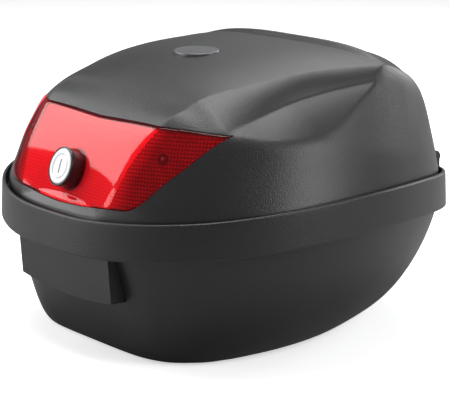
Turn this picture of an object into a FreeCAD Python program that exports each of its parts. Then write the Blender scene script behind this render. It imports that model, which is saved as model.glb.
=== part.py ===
import FreeCAD, Part
import math
import os
from bisect import bisect_right

# Motorcycle top case, about 390 x 410 x 260 mm. Lid and base shells, wrap-round rear reflector,
# push lock with latch, front hinges, carry grip, quick release in the floor.
# Frame: origin on the floor under the centre, +Z up, -Y the rear (lock) side, +Y the front
# (hinge) side. The shells are symmetric about X = 0.

# ---------------- driving dimensions, mm ----------------
WALL = 3.0            # shell thickness
WALL_REAR = 7.0       # lid thickness behind the reflector
FLOOR_Z = 1.2         # underside of the tub above the ground (feet stand proud)
BELT_LOW = 113.0      # lower edge of the belt at Y = 0
BELT_H = 32.4         # height of the belt
BELT_TOP = BELT_LOW+BELT_H
SAG, SAG_Y = 18.7, 200.0   # drop of both belt edges at this distance along Y
ARC_Y = 205.0         # the parting arc meets the sag curve here
SEAL_DROP = 14.0      # seal shelf below the upper edge of the belt
LID_LAP = 8.2         # lower edge of the lid below the upper edge of the belt
LID_EDGE = 6.5        # lid edge inwards of the outline
LOCK_Y, LOCK_Z = -186.0, 158.8       # lock centre on the reflector face
LOCK_TILT = math.radians(20.0)       # upward tilt of the lock axis
HINGE_Y, HINGE_Z = 205.88, 132.0     # hinge axis
HINGE_X, HINGE_HALF = 27.0, 13.0     # centre and half width of a hinge
PIVOT_Y, PIVOT_Z = -173.1, 121.3     # latch hook pivot
PAN_X, PAN_Y, PAN_H = 65.0, 76.0, 10.0   # half sizes and depth of the carrier recess
PAN_CY = -25.0        # centre of the recess along Y
PAN_ROOF = FLOOR_Z+PAN_H             # underside of the recess roof
PAN_TOP = PAN_ROOF+WALL              # inner floor over the recess
BOLT_PITCH_X, BOLT_PITCH_Y, BOLT_R = 90.0, 110.0, 3.3   # carrier bolt pattern
RING_POINTS = 120     # points round a ring
RING_EDGES = 12       # edges a ring is divided into
SHANK_R, HOLE_R = 1.5, 1.6           # common screw shank and its hole

# ---------------- fixing places ----------------
SIDES = (1, -1)       # +X, -X
BOLT_X = BOLT_PITCH_X/2
BOLT_YS = (PAN_CY+BOLT_PITCH_Y/2, PAN_CY-BOLT_PITCH_Y/2)
FEET = [(76, -128), (-76, -128), (46, 74), (-46, 74)]
GRIP_HOLES = [(side*62.0, z) for side in SIDES for z in (64, 84)]             # x, z
STRIKER_X, STRIKER_HOLE_Z = 19.0, 96
HOOK_X = 38.0
HOOK_HOLES = [(side*HOOK_X, y) for side in SIDES for y in (29.0, 41.0)]       # x, y
RELEASE_Y = -73.0     # release bolt station along Y
HOUSING_X, HOUSING_Y0, HOUSING_Y1 = 30, RELEASE_Y-16, RELEASE_Y+36   # release housing plan
HOUSING_HOLES = [(x, y) for y in (RELEASE_Y-6, RELEASE_Y+30) for x in (-24, 24)]
HINGE_HOLE_XS = (HINGE_X-8.5, HINGE_X+8.5)      # screws into the belt
HINGE_HOLE_Z = 112
LATCH_HOLE_X, LATCH_HOLE_Z = 17, 125

V = FreeCAD.Vector
X_AXIS, Y_AXIS, Z_AXIS = (1, 0, 0), (0, 1, 0), (0, 0, 1)
REARWARD = (0, -1, 0)


# ================= curves =================
def clamp01(value):
    return min(max(value, 0.0), 1.0)


def smoothstep(value):
    t = clamp01(value)
    return t*t*(3-2*t)


def soft_min(a, b, blend):
    """smooth minimum, blend = size of the blend in mm"""
    h = max(blend-abs(a-b), 0.0)/blend
    return min(a, b)-h*h*blend*0.25


def hermite(x0, z0, slope0, x1, z1, slope1, x):
    """cubic between two points with given end slopes"""
    h = x1-x0
    t = (x-x0)/h
    a = t*t*(3-2*t)
    return z0*(1-a)+z1*a+h*(slope0*t*(1-t)**2-slope1*t*t*(1-t))


def curve(points):
    """monotone cubic through (x, value) points, carried on straight beyond both ends"""
    xs, ys = zip(*points)
    gaps = [b-a for a, b in zip(xs, xs[1:])]
    rates = [(ys[i+1]-ys[i])/gap for i, gap in enumerate(gaps)]
    slopes = [rates[0]]
    for h0, h1, d0, d1 in zip(gaps, gaps[1:], rates, rates[1:]):
        flat = d0*d1 <= 0
        slopes.append(0.0 if flat else (h0+h1)*3/((2*h1+h0)/d0+(h1+2*h0)/d1))
    slopes.append(rates[-1])

    def value(x):
        if x <= xs[0]:
            return ys[0]+slopes[0]*(x-xs[0])
        if x >= xs[-1]:
            return ys[-1]+slopes[-1]*(x-xs[-1])
        i = bisect_right(xs, x)-1
        return hermite(xs[i], ys[i], slopes[i], xs[i+1], ys[i+1], slopes[i+1], x)
    return value


def spline_bends(xs, ys):
    """second derivatives of the cubic spline through the points, level at both ends"""
    n = len(xs)
    gaps = [0.0]+[xs[i+1]-xs[i] for i in range(n-1)]+[0.0]
    rates = [0.0]+[(ys[i+1]-ys[i])/gaps[i+1] for i in range(n-1)]+[0.0]
    diagonal = [2*(gaps[i]+gaps[i+1]) for i in range(n)]
    right = [6*(rates[i+1]-rates[i]) for i in range(n)]
    for i in range(1, n):
        f = gaps[i]/diagonal[i-1]
        diagonal[i] -= f*gaps[i]
        right[i] -= f*right[i-1]
    bends = [0.0]*(n+1)
    for i in range(n-1, -1, -1):
        bends[i] = (right[i]-gaps[i+1]*bends[i+1])/diagonal[i]
    return bends


# ================= plan outline: outer top edge of the belt =================
# plan angle in degrees (-90 = rear, 0 = side, 90 = front), radius
OUTLINE = [
    (-90, 209.0), (-77.1, 212.0), (-64.3, 216.2), (-51.4, 220.2), (-45, 221.2), (-38.6, 220.2),
    (-25.7, 212.3), (-12.9, 200.0), (0, 189.5), (12.9, 182.5), (25.7, 179.5), (38.6, 181.5),
    (51.4, 187.0), (64.3, 193.5), (77.1, 199.0), (90, 201.5)]
OUT_ANGLES = [math.radians(angle) for angle, _ in OUTLINE]
OUT_RADII = [radius for _, radius in OUTLINE]
OUT_BENDS = spline_bends(OUT_ANGLES, OUT_RADII)


def folded(angle):
    """the same plan angle on the +X side"""
    return math.atan2(math.sin(angle), abs(math.cos(angle)))


def outline_radius(angle):
    t = folded(angle)
    i = min(max(bisect_right(OUT_ANGLES, t)-1, 0), len(OUT_ANGLES)-2)
    h = OUT_ANGLES[i+1]-OUT_ANGLES[i]
    a = (OUT_ANGLES[i+1]-t)/h
    b = 1-a
    bend = (a**3-a)*OUT_BENDS[i]+(b**3-b)*OUT_BENDS[i+1]
    return a*OUT_RADII[i]+b*OUT_RADII[i+1]+bend*h*h/6


def outline_slope(angle, step):
    return (outline_radius(angle+step)-outline_radius(angle-step))/(2*step)


def outline_point(angle, inset):
    """point on the outline moved inwards along the normal"""
    r = outline_radius(angle)
    slope = outline_slope(angle, 1e-4)
    c, s = math.cos(angle), math.sin(angle)
    tx, ty = slope*c-r*s, slope*s+r*c
    length = math.hypot(tx, ty)
    return r*c-inset*ty/length, r*s+inset*tx/length


def depth_inside(x, y):
    """distance inwards from the outline (good near the edge)"""
    angle = math.atan2(y, x)
    r = outline_radius(angle)
    return (r-math.hypot(x, y))*r/math.hypot(r, outline_slope(angle, 1e-3))


def belt_low(y):
    return BELT_LOW-SAG*(y/SAG_Y)**2


def belt_top(y):
    return BELT_TOP-SAG*(y/SAG_Y)**2


# ================= lid surface, all curves along Y =================
# height on the centre line, behind the step at Y = 51 to 58
CENTRE_REAR_Z = curve([
    (-205, 100), (-196, 122), (-193, 133), (-188, 151), (-183, 164), (-176, 177.5), (-165, 191),
    (-152, 202.5), (-141, 211.5), (-128, 220.5), (-100, 236.5), (-75, 245.4), (-50, 249.8),
    (-25, 252.2), (0, 253.4), (30, 253.8), (56, 252.6)])
# height on the centre line, in front of the step
CENTRE_FRONT_Z = curve([
    (56, 256.9), (62, 256.6), (75, 252.6), (100, 245.5), (125, 238.5), (150, 226), (170, 209),
    (185, 184), (195, 145), (200, 110)])
# edge of the middle field: half width and height
FIELD_X = curve([
    (-205, 70), (-194, 73), (-187, 76), (-177, 78.5), (-165, 83), (-152, 88), (-141, 92.5),
    (-128, 96), (-116.5, 97.5), (-99, 102), (-82, 108), (-64.5, 113), (-46.5, 117), (-15, 121),
    (15.5, 126), (35.5, 131), (52, 135), (62, 131), (80, 118), (102, 103), (122, 91), (145, 80),
    (160, 76), (200, 60)])
FIELD_Z = curve([
    (-205, 118), (-194, 139.5), (-187, 155), (-177, 174), (-165, 190.5), (-152, 203.5),
    (-141, 212.5), (-128, 218.5), (-116.5, 225), (-99, 229.7), (-82, 233.5), (-64.5, 236.8),
    (-46.5, 239.6), (-15, 243), (15.5, 244), (35.5, 244.5), (50, 244.4), (56, 244.4),
    (62, 243.8), (80, 239.0), (102, 232.0), (122, 222), (145, 204), (160, 180), (200, 110)])
# shoulder outside the field: half width and height
SHOULDER_X = curve([
    (-196, 82), (-191, 93), (-185, 99), (-181, 103), (-173, 109), (-164, 117), (-155.5, 125),
    (-144, 130.5), (-134, 136.5), (-119.5, 142), (-113, 139), (-90, 136), (-45, 136), (20, 142),
    (69, 149), (100, 140), (150, 110), (200, 70)])
SHOULDER_Z = curve([
    (-196, 134), (-191, 138), (-185, 141), (-181, 145), (-173, 154), (-164, 165), (-155.5, 173.5),
    (-144, 183), (-134, 192), (-119.5, 200), (-113, 203), (-90, 209), (-45, 221), (20, 230.4),
    (50, 233), (69, 232), (100, 214), (150, 170), (200, 90)])
# height at which the side turns flatter
BREAK_Z = curve([
    (-210, 130), (-185, 141), (-164, 165), (-134, 192), (-119.5, 200), (-50, 190), (47, 170),
    (110, 160), (210, 140)])
# draft of the side below the break, mm inwards per mm of height
SIDE_DRAFT = curve([
    (-210, 0.15), (-185, 0.17), (-173, 0.3), (-164, 0.38), (-144, 0.44), (-119.5, 0.46),
    (-50, 0.32), (47, 0.2), (100, 0.176), (210, 0.176)])


def top_height(x, y):
    """top of the lid before it is blended into the sides"""
    x = abs(x)
    step = smoothstep((y-51.0)/7.0)
    centre = CENTRE_REAR_Z(y)*(1-step)+CENTRE_FRONT_Z(56.0 if step < 1 else y)*step
    x1, z1, x2, z2 = FIELD_X(y), FIELD_Z(y), SHOULDER_X(y), SHOULDER_Z(y)
    if x <= x1:
        return centre+(z1-centre)*(x/x1)**(2.0+1.5*clamp01((y+150)/150))
    if x <= x2 and x2-x1 > 4:
        slope = (z2-z1)/(x2-x1)
        w = clamp01((y+130)/60.0)
        return hermite(x1, z1, slope*(0.7-0.25*w), x2, z2, slope*(1.35+0.35*w), x)
    bend = 0.0036+clamp01((y+97)/115.0)*0.010
    return z2-(x-x2)*(0.45 if y > -130 else 0.8)-bend*(x-x2)**2


def lid_height(x, y):
    depth = depth_inside(x, y)
    low = belt_top(y)
    draft = SIDE_DRAFT(y)
    lower_side = low+(depth-LID_EDGE)/draft
    break_z = BREAK_Z(y)
    break_depth = LID_EDGE+(break_z-low)*draft
    upper_draft = draft+0.12-0.06*clamp01((y-10)/70.0)
    upper_side = break_z+(depth-break_depth)/upper_draft
    top = top_height(x, y)
    if y < -150:
        top = max(top, min(low+(depth-LID_EDGE)*0.9, low+12))
    blend = 6.0+8*clamp01((y-20)/60.0)
    return soft_min(soft_min(lower_side, upper_side, 2.0), top, blend)


def unit_normal(slope_x, slope_y):
    length = math.sqrt(1+slope_x*slope_x+slope_y*slope_y)
    return -slope_x/length, -slope_y/length, 1/length


def lid_normal(x, y, step):
    return unit_normal((lid_height(x+step, y)-lid_height(x-step, y))/(2*step),
                       (lid_height(x, y+step)-lid_height(x, y-step))/(2*step))


# ================= tub surface, all curves over the plan angle in degrees =================
FLOOR_INSET = curve([
    (-90, 45), (-70, 43), (-60, 42), (-50, 53), (-40, 68), (-25, 81), (0, 88), (25, 91.5),
    (50, 88), (90, 76)])                                                # inset of the floor contour
WALL_DRAFT = curve([(-90, 0.20), (-50, 0.20), (0, 0.2), (50, 0.25), (90, 0.25)])
BILGE_POWER = curve([(-90, 4.0), (-60, 3.6), (-40, 2.8), (0, 2.2), (50, 2.0), (90, 2.0)])
BELT_INSET = curve([(-90, 11), (-40, 11), (0, 9), (50, 7), (90, 7)])    # just under the belt


def rear_wall_y(z):
    return -(162.0+0.27*z)


def tub_inset(angle, z):
    degrees = math.degrees(folded(angle))
    full = belt_low(outline_radius(angle)*math.sin(angle))
    down = clamp01((full-z)/full)
    z = min(z, full)
    top, draft = BELT_INSET(degrees), WALL_DRAFT(degrees)
    bilge = 1-math.sqrt(max(1-down**BILGE_POWER(degrees), 0.0))
    return top+draft*(full-z)+(FLOOR_INSET(degrees)-top-draft*full)*bilge


def tub_point(angle, z, inset):
    """plan point on the tub wall at height z, moved inwards"""
    x, y = outline_point(angle, tub_inset(angle, z)+inset)
    if y < -100:                              # flat rear wall
        y = -soft_min(-y, -rear_wall_y(z)-inset, 7.0)
    return x, y


# ================= solid helpers =================
def clean_solids(shapes):
    """solids of the shapes with split faces merged and crumbs dropped"""
    solids = []
    for shape in shapes:
        solids += (shape.removeSplitter() if len(shape.Faces) < 60 else shape).Solids
    biggest = max(solid.Volume for solid in solids)
    return [solid for solid in solids if solid.Volume > 0.002*biggest]


def largest(shape):
    return max(shape.Solids, key=lambda solid: solid.Volume)


def ring(points):
    spline = Part.BSplineCurve()
    spline.interpolate(Points=[V(*p) for p in points], PeriodicFlag=True)
    knots = spline.getKnots()
    n = (len(knots)-1)//RING_EDGES
    return Part.Wire([spline.toShape(knots[i*n], knots[(i+1)*n]) for i in range(RING_EDGES)])


def loft(rings):
    solid = Part.makeLoft([ring(points) for points in rings], True, True)
    if solid.Volume < 0:
        solid.reverse()
    return solid


def box(x0, x1, y0, y1, z0, z1):
    return Part.makeBox(x1-x0, y1-y0, z1-z0, V(x0, y0, z0))


def side_box(side, x0, x1, *yz):
    """box between the distances x0 and x1 from the centre plane, on one side"""
    return box(min(side*x0, side*x1), max(side*x0, side*x1), *yz)


def cyl(radius, start, axis, length):
    return Part.makeCylinder(radius, length, V(*start), V(*axis))


def prism_x(outline, x0, x1):
    """closed (y, z) outline swept along X"""
    wire = Part.makePolygon([V(x0, y, z) for y, z in outline+outline[:1]])
    return Part.Face(wire).extrude(V(x1-x0, 0, 0))


def mirror(shape):
    return shape.mirror(V(0, 0, 0), V(1, 0, 0))


def both_sides(shapes):
    return shapes+[mirror(shape) for shape in shapes]


def cut_each(shape, cutters):
    for cutter in cutters:
        shape = shape.cut(cutter)
    return shape


def fillet(shape, radius, wanted):
    return shape.makeFillet(radius, [edge for edge in shape.Edges if wanted(edge)])


def rim_edges(shape, radius, centre):
    """full circles of this radius about this centre"""
    return [edge for edge in shape.Edges if abs(edge.Length-2*math.pi*radius) < 0.01
            and (edge.CenterOfMass-centre).Length < 0.01]


def screw(seat, direction, head_r, head_h, length, shank_r=SHANK_R):
    """pan-head cross screw, seat under the head, direction along the shank"""
    axis = V(*direction)
    axis.normalize()
    seat = V(*seat)
    crown = seat-axis*head_h
    head = Part.makeCylinder(head_r, head_h, crown, axis)
    try:
        head = head.makeFillet(head_h*0.45, rim_edges(head, head_r, crown))
    except Exception:
        pass                                  # a head that cannot be rounded stays sharp
    body = head.fuse(Part.makeCylinder(shank_r, length, seat, axis))
    long, deep = head_r*1.1, head_h*0.55
    cross = Part.makeBox(long, 1.0, deep, V(-long/2, -0.5, 0))
    cross = cross.fuse(Part.makeBox(1.0, long, deep, V(-0.5, -long/2, 0)))
    cross.Placement = FreeCAD.Placement(seat-axis*(head_h+0.01),
                                        FreeCAD.Rotation(V(0, 0, 1), axis))
    return body.cut(cross)


ARC_SAG = SAG*(ARC_Y/SAG_Y)**2
ARC_R = (ARC_Y**2+ARC_SAG**2)/(2*ARC_SAG)     # radius of the parting surface


def slab(low, high):
    """region between two copies of the arched surface (mid heights); None is far away"""
    x, y = -300, 260

    def border(mid, far_z):
        """edge from -Y to +Y and its two ends"""
        z = far_z if mid is None else mid-(ARC_R-math.sqrt(ARC_R*ARC_R-y*y))
        a, b = V(x, -y, z), V(x, y, z)
        if mid is None:
            return Part.makeLine(a, b), a, b
        return Part.Arc(a, V(x, 0, mid), b).toShape(), a, b

    bottom, low_rear, low_front = border(low, -60)
    top, high_rear, high_front = border(high, 420)
    edges = [bottom, Part.makeLine(low_front, high_front), top,
             Part.makeLine(low_rear, high_rear)]
    return Part.Face(Part.Wire(Part.sortEdges(edges)[0])).extrude(V(-2*x, 0, 0))


ANGLES = [math.pi/2+2*math.pi*i/RING_POINTS for i in range(RING_POINTS)]
TUB_STEPS = (0, 2.5, 7, 13, 21, 31, 43, 57, 72, 90)     # ring heights above the bottom


def tub(inset, bottom, lift=0.0):
    """solid tub up to Z = 170, its contours raised by lift"""
    heights = [bottom+step for step in TUB_STEPS]+[170.0]
    return loft([[tub_point(angle, z-lift, inset)+(z,) for angle in ANGLES] for z in heights])


def skin(inset_low, inset_high):
    """outline prism through the belt, insets at Z = 55 and Z = 165"""
    return loft([[outline_point(angle, inset)+(z,) for angle in ANGLES]
                 for inset, z in ((inset_low, 55.0), (inset_high, 165.0))])


# share of the way from the lid edge to the centre, one per ring
LID_STEPS = [0.0, 0.012, 0.028, 0.05, 0.075, 0.105, 0.14, 0.175, 0.215, 0.26, 0.31, 0.37,
             0.44, 0.52, 0.6, 0.69, 0.79, 0.9]


def lid_grid():
    """rings of (x, y, z, outward normal) on the lid"""
    grid = []
    for step in LID_STEPS:
        row = []
        for angle in ANGLES:
            x0, y0 = outline_point(angle, LID_EDGE)
            x, y = x0*(1-step), y0*(1-step)
            if step == 0:
                inner_x, inner_y = outline_point(angle, LID_EDGE+1)
                normal, z = (x0-inner_x, y0-inner_y, 0.0), belt_top(y0)
            else:
                normal, z = lid_normal(x, y, 1.5), max(lid_height(x, y), belt_top(y)+0.5)
            row.append((x, y, z, normal))
        grid.append(row)
    return grid


LID_GRID = lid_grid()
CROWN_Z = lid_height(0, 0)


def dome(offset, rear_extra=0.0):
    """solid under the lid surface moved outwards by offset, plus rear_extra at the rear"""
    def moved(x, y, z, normal):
        move = offset+rear_extra*smoothstep((-98.0-y)/18.0)
        return x+normal[0]*move, y+normal[1]*move, z+normal[2]*move

    rings = [[moved(*node)[:2]+(70.0,) for node in LID_GRID[0]]]
    rings += [[moved(*node) for node in row] for row in LID_GRID]
    rings.append([(0.03*x, 0.03*y, CROWN_Z+offset) for x, y, _, _ in LID_GRID[0]])
    return loft(rings)


# ================= base =================
STRIKER_Y = rear_wall_y(85)+WALL+0.4          # rear face of the striker plate


def base_shell():
    tub_in = tub(WALL, FLOOR_Z+WALL+0.2, WALL)
    y0, y1 = PAN_CY-PAN_Y, PAN_CY+PAN_Y
    pan = box(-PAN_X, PAN_X, y0, y1, -1, PAN_ROOF)
    pan_in = box(-PAN_X-WALL, PAN_X+WALL, y0-WALL, y1+WALL, -1, PAN_TOP)
    skin_in = skin(-0.3, 3.9)
    shelf = BELT_TOP-SEAL_DROP
    rim = skin(-3.3, 0.9).common(slab(BELT_LOW, BELT_TOP))
    rim = rim.cut(skin_in.common(slab(shelf, None)))
    rim = rim.cut(skin_in.common(slab(None, shelf-WALL))).cut(tub_in)
    base = tub(0.0, FLOOR_Z).cut(tub_in.cut(pan_in)).cut(pan)
    base = base.common(slab(None, shelf-1.0)).fuse(rim)
    for x, y in FEET:
        base = base.fuse(cyl(11, (x, y, 3.2), Z_AXIS, 3.2))
    cuts = [cyl(1.85, (x, -200, z), Y_AXIS, 30) for x, z in GRIP_HOLES]
    cuts += [cyl(BOLT_R, (side*BOLT_X, y, 0), Z_AXIS, 20) for side in SIDES for y in BOLT_YS]
    cuts += [cyl(8.05, (x, y, -1), Z_AXIS, 3.4) for x, y in FEET]
    cuts += [box(-9.2, 9.2, RELEASE_Y-14, RELEASE_Y+2, 8, 16)]     # release window
    cuts += [cyl(HOLE_R, (x, y, 5), Z_AXIS, 12) for x, y in HOOK_HOLES]
    cuts += [cyl(1.3, (x, y, 5), Z_AXIS, 12) for x, y in HOUSING_HOLES]
    cuts += [cyl(HOLE_R, (side*x, 185, HINGE_HOLE_Z), Y_AXIS, 40)
             for side in SIDES for x in HINGE_HOLE_XS]
    base = clean_solids([cut_each(base, cuts)])[0]
    # pad that brings the sloping rear wall up to the striker plate
    low, high = 89, 104
    pad = prism_x([(rear_wall_y(low)+2.2, low), (STRIKER_Y-0.05, low),
                   (STRIKER_Y-0.05, high), (rear_wall_y(high)+2.2, high)], -24, 24)
    return cut_each(base.fuse(pad), [
        cyl(HOLE_R, (side*STRIKER_X, -186.6, STRIKER_HOLE_Z), Y_AXIS, 30) for side in SIDES])


def rim_seal():
    band = skin(4.6, 4.6).cut(skin(10.2, 10.2))
    return band.common(slab(BELT_TOP-SEAL_DROP+0.05, BELT_TOP-LID_LAP-0.4))


def rubber_feet():
    return [cyl(7.9, (x, y, 0), Z_AXIS, 2.3).fuse(Part.makeCone(6.5, 7.9, 0.8, V(x, y, 0)))
            for x, y in FEET]


def rear_grip():
    outer = prism_x([(-194.8, 94.0), (-191.2, 47.5), (-160, 47.5), (-160, 94.0)], -72.2, 72.2)
    inner = prism_x([(-192.1, 95.0), (-188.5, 40.0), (-150, 40.0), (-150, 95.0)], -69.2, 69.2)
    tab_zone = tub(-3.4, FLOOR_Z-0.1)
    tabs = [side_box(side, 54, 70, -193, -160, 57, 91).common(tab_zone) for side in SIDES]
    grip = outer.cut(inner).fuse(tabs).cut(tub(-0.1, FLOOR_Z-0.1))
    # the lower edge is bowed, highest at the ends
    left, middle, right = V(-80, -230, 54.6), V(0, -230, 48.4), V(80, -230, 54.6)
    low_left, low_right = V(-80, -230, 30), V(80, -230, 30)
    edges = [Part.Arc(left, middle, right).toShape(), Part.makeLine(right, low_right),
             Part.makeLine(low_right, low_left), Part.makeLine(low_left, left)]
    grip = grip.cut(Part.Face(Part.Wire(Part.sortEdges(edges)[0])).extrude(V(0, 90, 0)))
    holes = [cyl(1.55, (x, -190.2, z), Y_AXIS, 40) for x, z in GRIP_HOLES]
    return largest(cut_each(grip, holes))


def grip_screws():
    return [screw((x, rear_wall_y(z)+WALL+2.5, z), REARWARD, 3.6, 2.2, 10.0)
            for x, z in GRIP_HOLES]


def striker_plate():
    """plate on the inside of the rear wall with a bar held off it by two arms"""
    bar_y, top = -163.5, 109.5
    plate = box(-25, 25, STRIKER_Y, STRIKER_Y+2, 88, top)
    for side in SIDES:
        plate = plate.fuse(side_box(side, 13.5, 16, STRIKER_Y, bar_y, 104, top))
    plate = plate.fuse(box(-16, 16, -168.9, bar_y, 106.2, top))
    return cut_each(plate, [cyl(HOLE_R, (side*STRIKER_X, -210, STRIKER_HOLE_Z), Y_AXIS, 60)
                            for side in SIDES])


def striker_screws():
    return [screw((side*STRIKER_X, STRIKER_Y+2, STRIKER_HOLE_Z), REARWARD, 3.2, 2.0, 4.8)
            for side in SIDES]


def carrier_hooks():
    """hooks under the front of the recess, lips pointing rearwards"""
    hooks = []
    top = PAN_ROOF-0.05
    for side in SIDES:
        x0, x1 = side*HOOK_X-9, side*HOOK_X+9
        hook = box(x0, x1, 23, 47, top-2.5, top)
        hook = hook.fuse(box(x0, x1, 23, 25.5, 3.0, top)).fuse(box(x0, x1, 13, 25.5, 3.0, 5.5))
        hooks.append(cut_each(hook, [cyl(HOLE_R, (x, y, 5), Z_AXIS, 12)
                                     for x, y in HOOK_HOLES if x*side > 0]))
    return hooks


def carrier_hook_screws():
    return [screw((x, y, PAN_TOP), (0, 0, -1), 3.2, 1.8, 5.2) for x, y in HOOK_HOLES]


# ================= quick release on the inner floor =================
HOUSING_TOP = PAN_TOP+15
HOUSING_SEAT = PAN_TOP+12.6                   # under the screw heads
SPRING_XS = (-5.0, 5.0)
SPRING_Z = PAN_TOP+4.3


def release_housing():
    y = RELEASE_Y
    body = box(-HOUSING_X, HOUSING_X, HOUSING_Y0, HOUSING_Y1, PAN_TOP+0.05, HOUSING_TOP)
    body = fillet(body, 4.0, lambda edge: abs(edge.CenterOfMass.z-HOUSING_TOP) > 1
                  and edge.Length < 16)
    body = fillet(body, 2.0, lambda edge: abs(edge.CenterOfMass.z-HOUSING_TOP) < 0.01)
    body = body.cut(box(-10, 10, y-13.4, y+30, PAN_TOP-1, PAN_TOP+8.6))          # bolt channel
    body = body.cut(box(-8.1, 8.1, y-10.1, y+8.1, PAN_TOP+5, PAN_TOP+20))        # button well
    for x, hole_y in HOUSING_HOLES:
        body = body.cut(cyl(1.3, (x, hole_y, 0), Z_AXIS, 40))
        body = body.cut(cyl(2.9, (x, hole_y, HOUSING_SEAT), Z_AXIS, 10))
    return body


def release_housing_screws():
    return [screw((x, y, HOUSING_SEAT), (0, 0, -1), 2.7, 1.7, 14.6, shank_r=1.2)
            for x, y in HOUSING_HOLES]


def release_button():
    body = box(-8.0, 8.0, RELEASE_Y-10.0, RELEASE_Y+8.0, PAN_TOP+9.2, PAN_TOP+19.5)
    return fillet(body, 1.5, lambda edge: edge.CenterOfMass.z > PAN_TOP+12)


def release_bolt():
    """slide with a raised front block and a nose down through the window"""
    y, low, high = RELEASE_Y, PAN_TOP+0.1, PAN_TOP+3.9
    nose = [(y-8, low), (y-8, high), (y-3, high), (y-3, 4.2), (y-13, 4.2), (y-13, 5.6), (y-8, 9.0)]
    bolt = box(-9.0, 9.0, y-8, y+18, low, high)
    bolt = bolt.fuse(box(-9.0, 9.0, y+8.4, y+18, low, PAN_TOP+8.4))
    bolt = bolt.fuse(prism_x(nose, -9.0, 9.0))
    return cut_each(bolt, [cyl(3.2, (x, y+12.0, SPRING_Z), Y_AXIS, 20) for x in SPRING_XS])


def release_spring():
    coil_r, wire_r, pitch, length = 2.6, 0.35, 2.2, 12.4
    coils = []
    for x in SPRING_XS:
        path = Part.Wire(Part.makeHelix(pitch, length, coil_r))
        section = Part.Wire([Part.makeCircle(wire_r, V(coil_r, 0, 0), V(0, 1, 0))])
        coil = path.makePipeShell([section], True, True)
        coil.Placement = FreeCAD.Placement(V(x, RELEASE_Y+16.8, SPRING_Z),
                                           FreeCAD.Rotation(V(0, 0, 1), V(*Y_AXIS)))
        coils.append(coil)
    return coils


def floor_mat():
    """mat over the recess with openings for housing, hook screws and carrier bolts"""
    gap = 1
    mat = box(-66, 66, PAN_CY-72, PAN_CY+72, PAN_TOP+0.1, PAN_TOP+2.3)
    mat = fillet(mat, 8, lambda edge: edge.Length < 3)
    mat = mat.cut(box(-HOUSING_X-gap, HOUSING_X+gap, HOUSING_Y0-gap, HOUSING_Y1+gap, 0, 60))
    for side in SIDES:
        mat = mat.cut(box(side*HOOK_X-6, side*HOOK_X+6, 24, 46, 0, 60))
        for y in BOLT_YS:
            mat = mat.cut(cyl(5.5, (side*BOLT_X, y, 0), Z_AXIS, 60))
    return mat


# ================= lock frame =================
LOCK_AXIS = V(0.0, -math.cos(LOCK_TILT), math.sin(LOCK_TILT))     # outwards
LOCK_DOWN = V(0.0, -math.sin(LOCK_TILT), -math.cos(LOCK_TILT))    # down, square to the axis


def lock_point(out, down=0.0, x=0.0):
    return V(x, LOCK_Y, LOCK_Z)+LOCK_AXIS*out+LOCK_DOWN*down


def lock_cyl(radius, out0, out1):
    return cyl(radius, lock_point(out0), LOCK_AXIS, out1-out0)


def lock_box(x0, x1, down0, down1, out0, out1):
    corners = [(down0, x0), (down0, x1), (down1, x1), (down1, x0), (down0, x0)]
    wire = Part.makePolygon([lock_point(out0, down, x) for down, x in corners])
    return Part.Face(wire).extrude(LOCK_AXIS*(out1-out0))


# ================= reflector =================
# half outline from the lower to the upper centre point: x, z
LENS_HALF = [
    (0, 131.8), (40, 133.2), (72, 136.2), (86, 136.8), (92, 137.6), (97, 140.0), (103, 145.0),
    (109, 153.5), (117, 164.5), (125, 174), (130.5, 183), (136.5, 192), (142.5, 200.4),
    (130, 201.6), (115.5, 203.0), (105, 203.6), (88, 204.0), (0, 202.0)]
LENS_SCREW_X, LENS_SCREW_Y = 104.0, -160.5
LENS_SCREW_Z = lid_height(LENS_SCREW_X, LENS_SCREW_Y)
LENS_NORMAL = lid_normal(LENS_SCREW_X, LENS_SCREW_Y, 2.0)


def lens_prism(grow):
    """reflector outline grown outwards, swept along Y"""
    outline = LENS_HALF+[(-x, z) for x, z in LENS_HALF[-2:0:-1]]
    points = []
    for i, (bx, bz) in enumerate(outline):
        ax, az = outline[i-1]
        cx, cz = outline[(i+1) % len(outline)]
        l1, l2 = math.hypot(bx-ax, bz-az), math.hypot(cx-bx, cz-bz)
        nx, nz = (bz-az)/l1+(cz-bz)/l2, -(bx-ax)/l1-(cx-bx)/l2
        length = math.hypot(nx, nz)
        k = grow/length/max(0.5, length/2)
        points.append(V(bx+nx*k, -230, bz+nz*k))
    return Part.Face(Part.makePolygon(points+points[:1])).extrude(V(0, 125, 0))


def lens_axis(side):
    return side*LENS_NORMAL[0], LENS_NORMAL[1], LENS_NORMAL[2]


def lens_point(out, side):
    """point on a lens screw axis, measured outwards from the lid surface"""
    return V(side*LENS_SCREW_X, LENS_SCREW_Y, LENS_SCREW_Z)+V(*lens_axis(side))*out


def lens_cyl(radius, out, length, side):
    return cyl(radius, lens_point(out, side), lens_axis(side), length)


def reflector_lens():
    lens = lens_prism(0.0).common(dome(1.0)).cut(dome(-1.8)).cut(lock_cyl(18.4, -16, 16))
    for side in SIDES:
        lens = lens.fuse(lens_cyl(5.0, -3.2, 2.0, side)).cut(lens_cyl(1.55, -20, 19.0, side))
    return largest(lens)


def reflector_insert():
    insert = lens_prism(-1.2).common(dome(-2.0)).cut(dome(-3.2)).cut(lock_cyl(18.8, -16, 16))
    return largest(cut_each(insert, [lens_cyl(5.2, -20, 30, side) for side in SIDES]))


def lens_screws():
    return [screw(lens_point(-WALL_REAR-0.2, side), lens_axis(side), 4.2, 2.0, 6.0)
            for side in SIDES]


# ================= badge =================
BADGE_RX, BADGE_RY, BADGE_Y = 25.0, 21.0, -50.0
BADGE_TOP, BADGE_SLOPE = 251.9, 0.07


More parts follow.
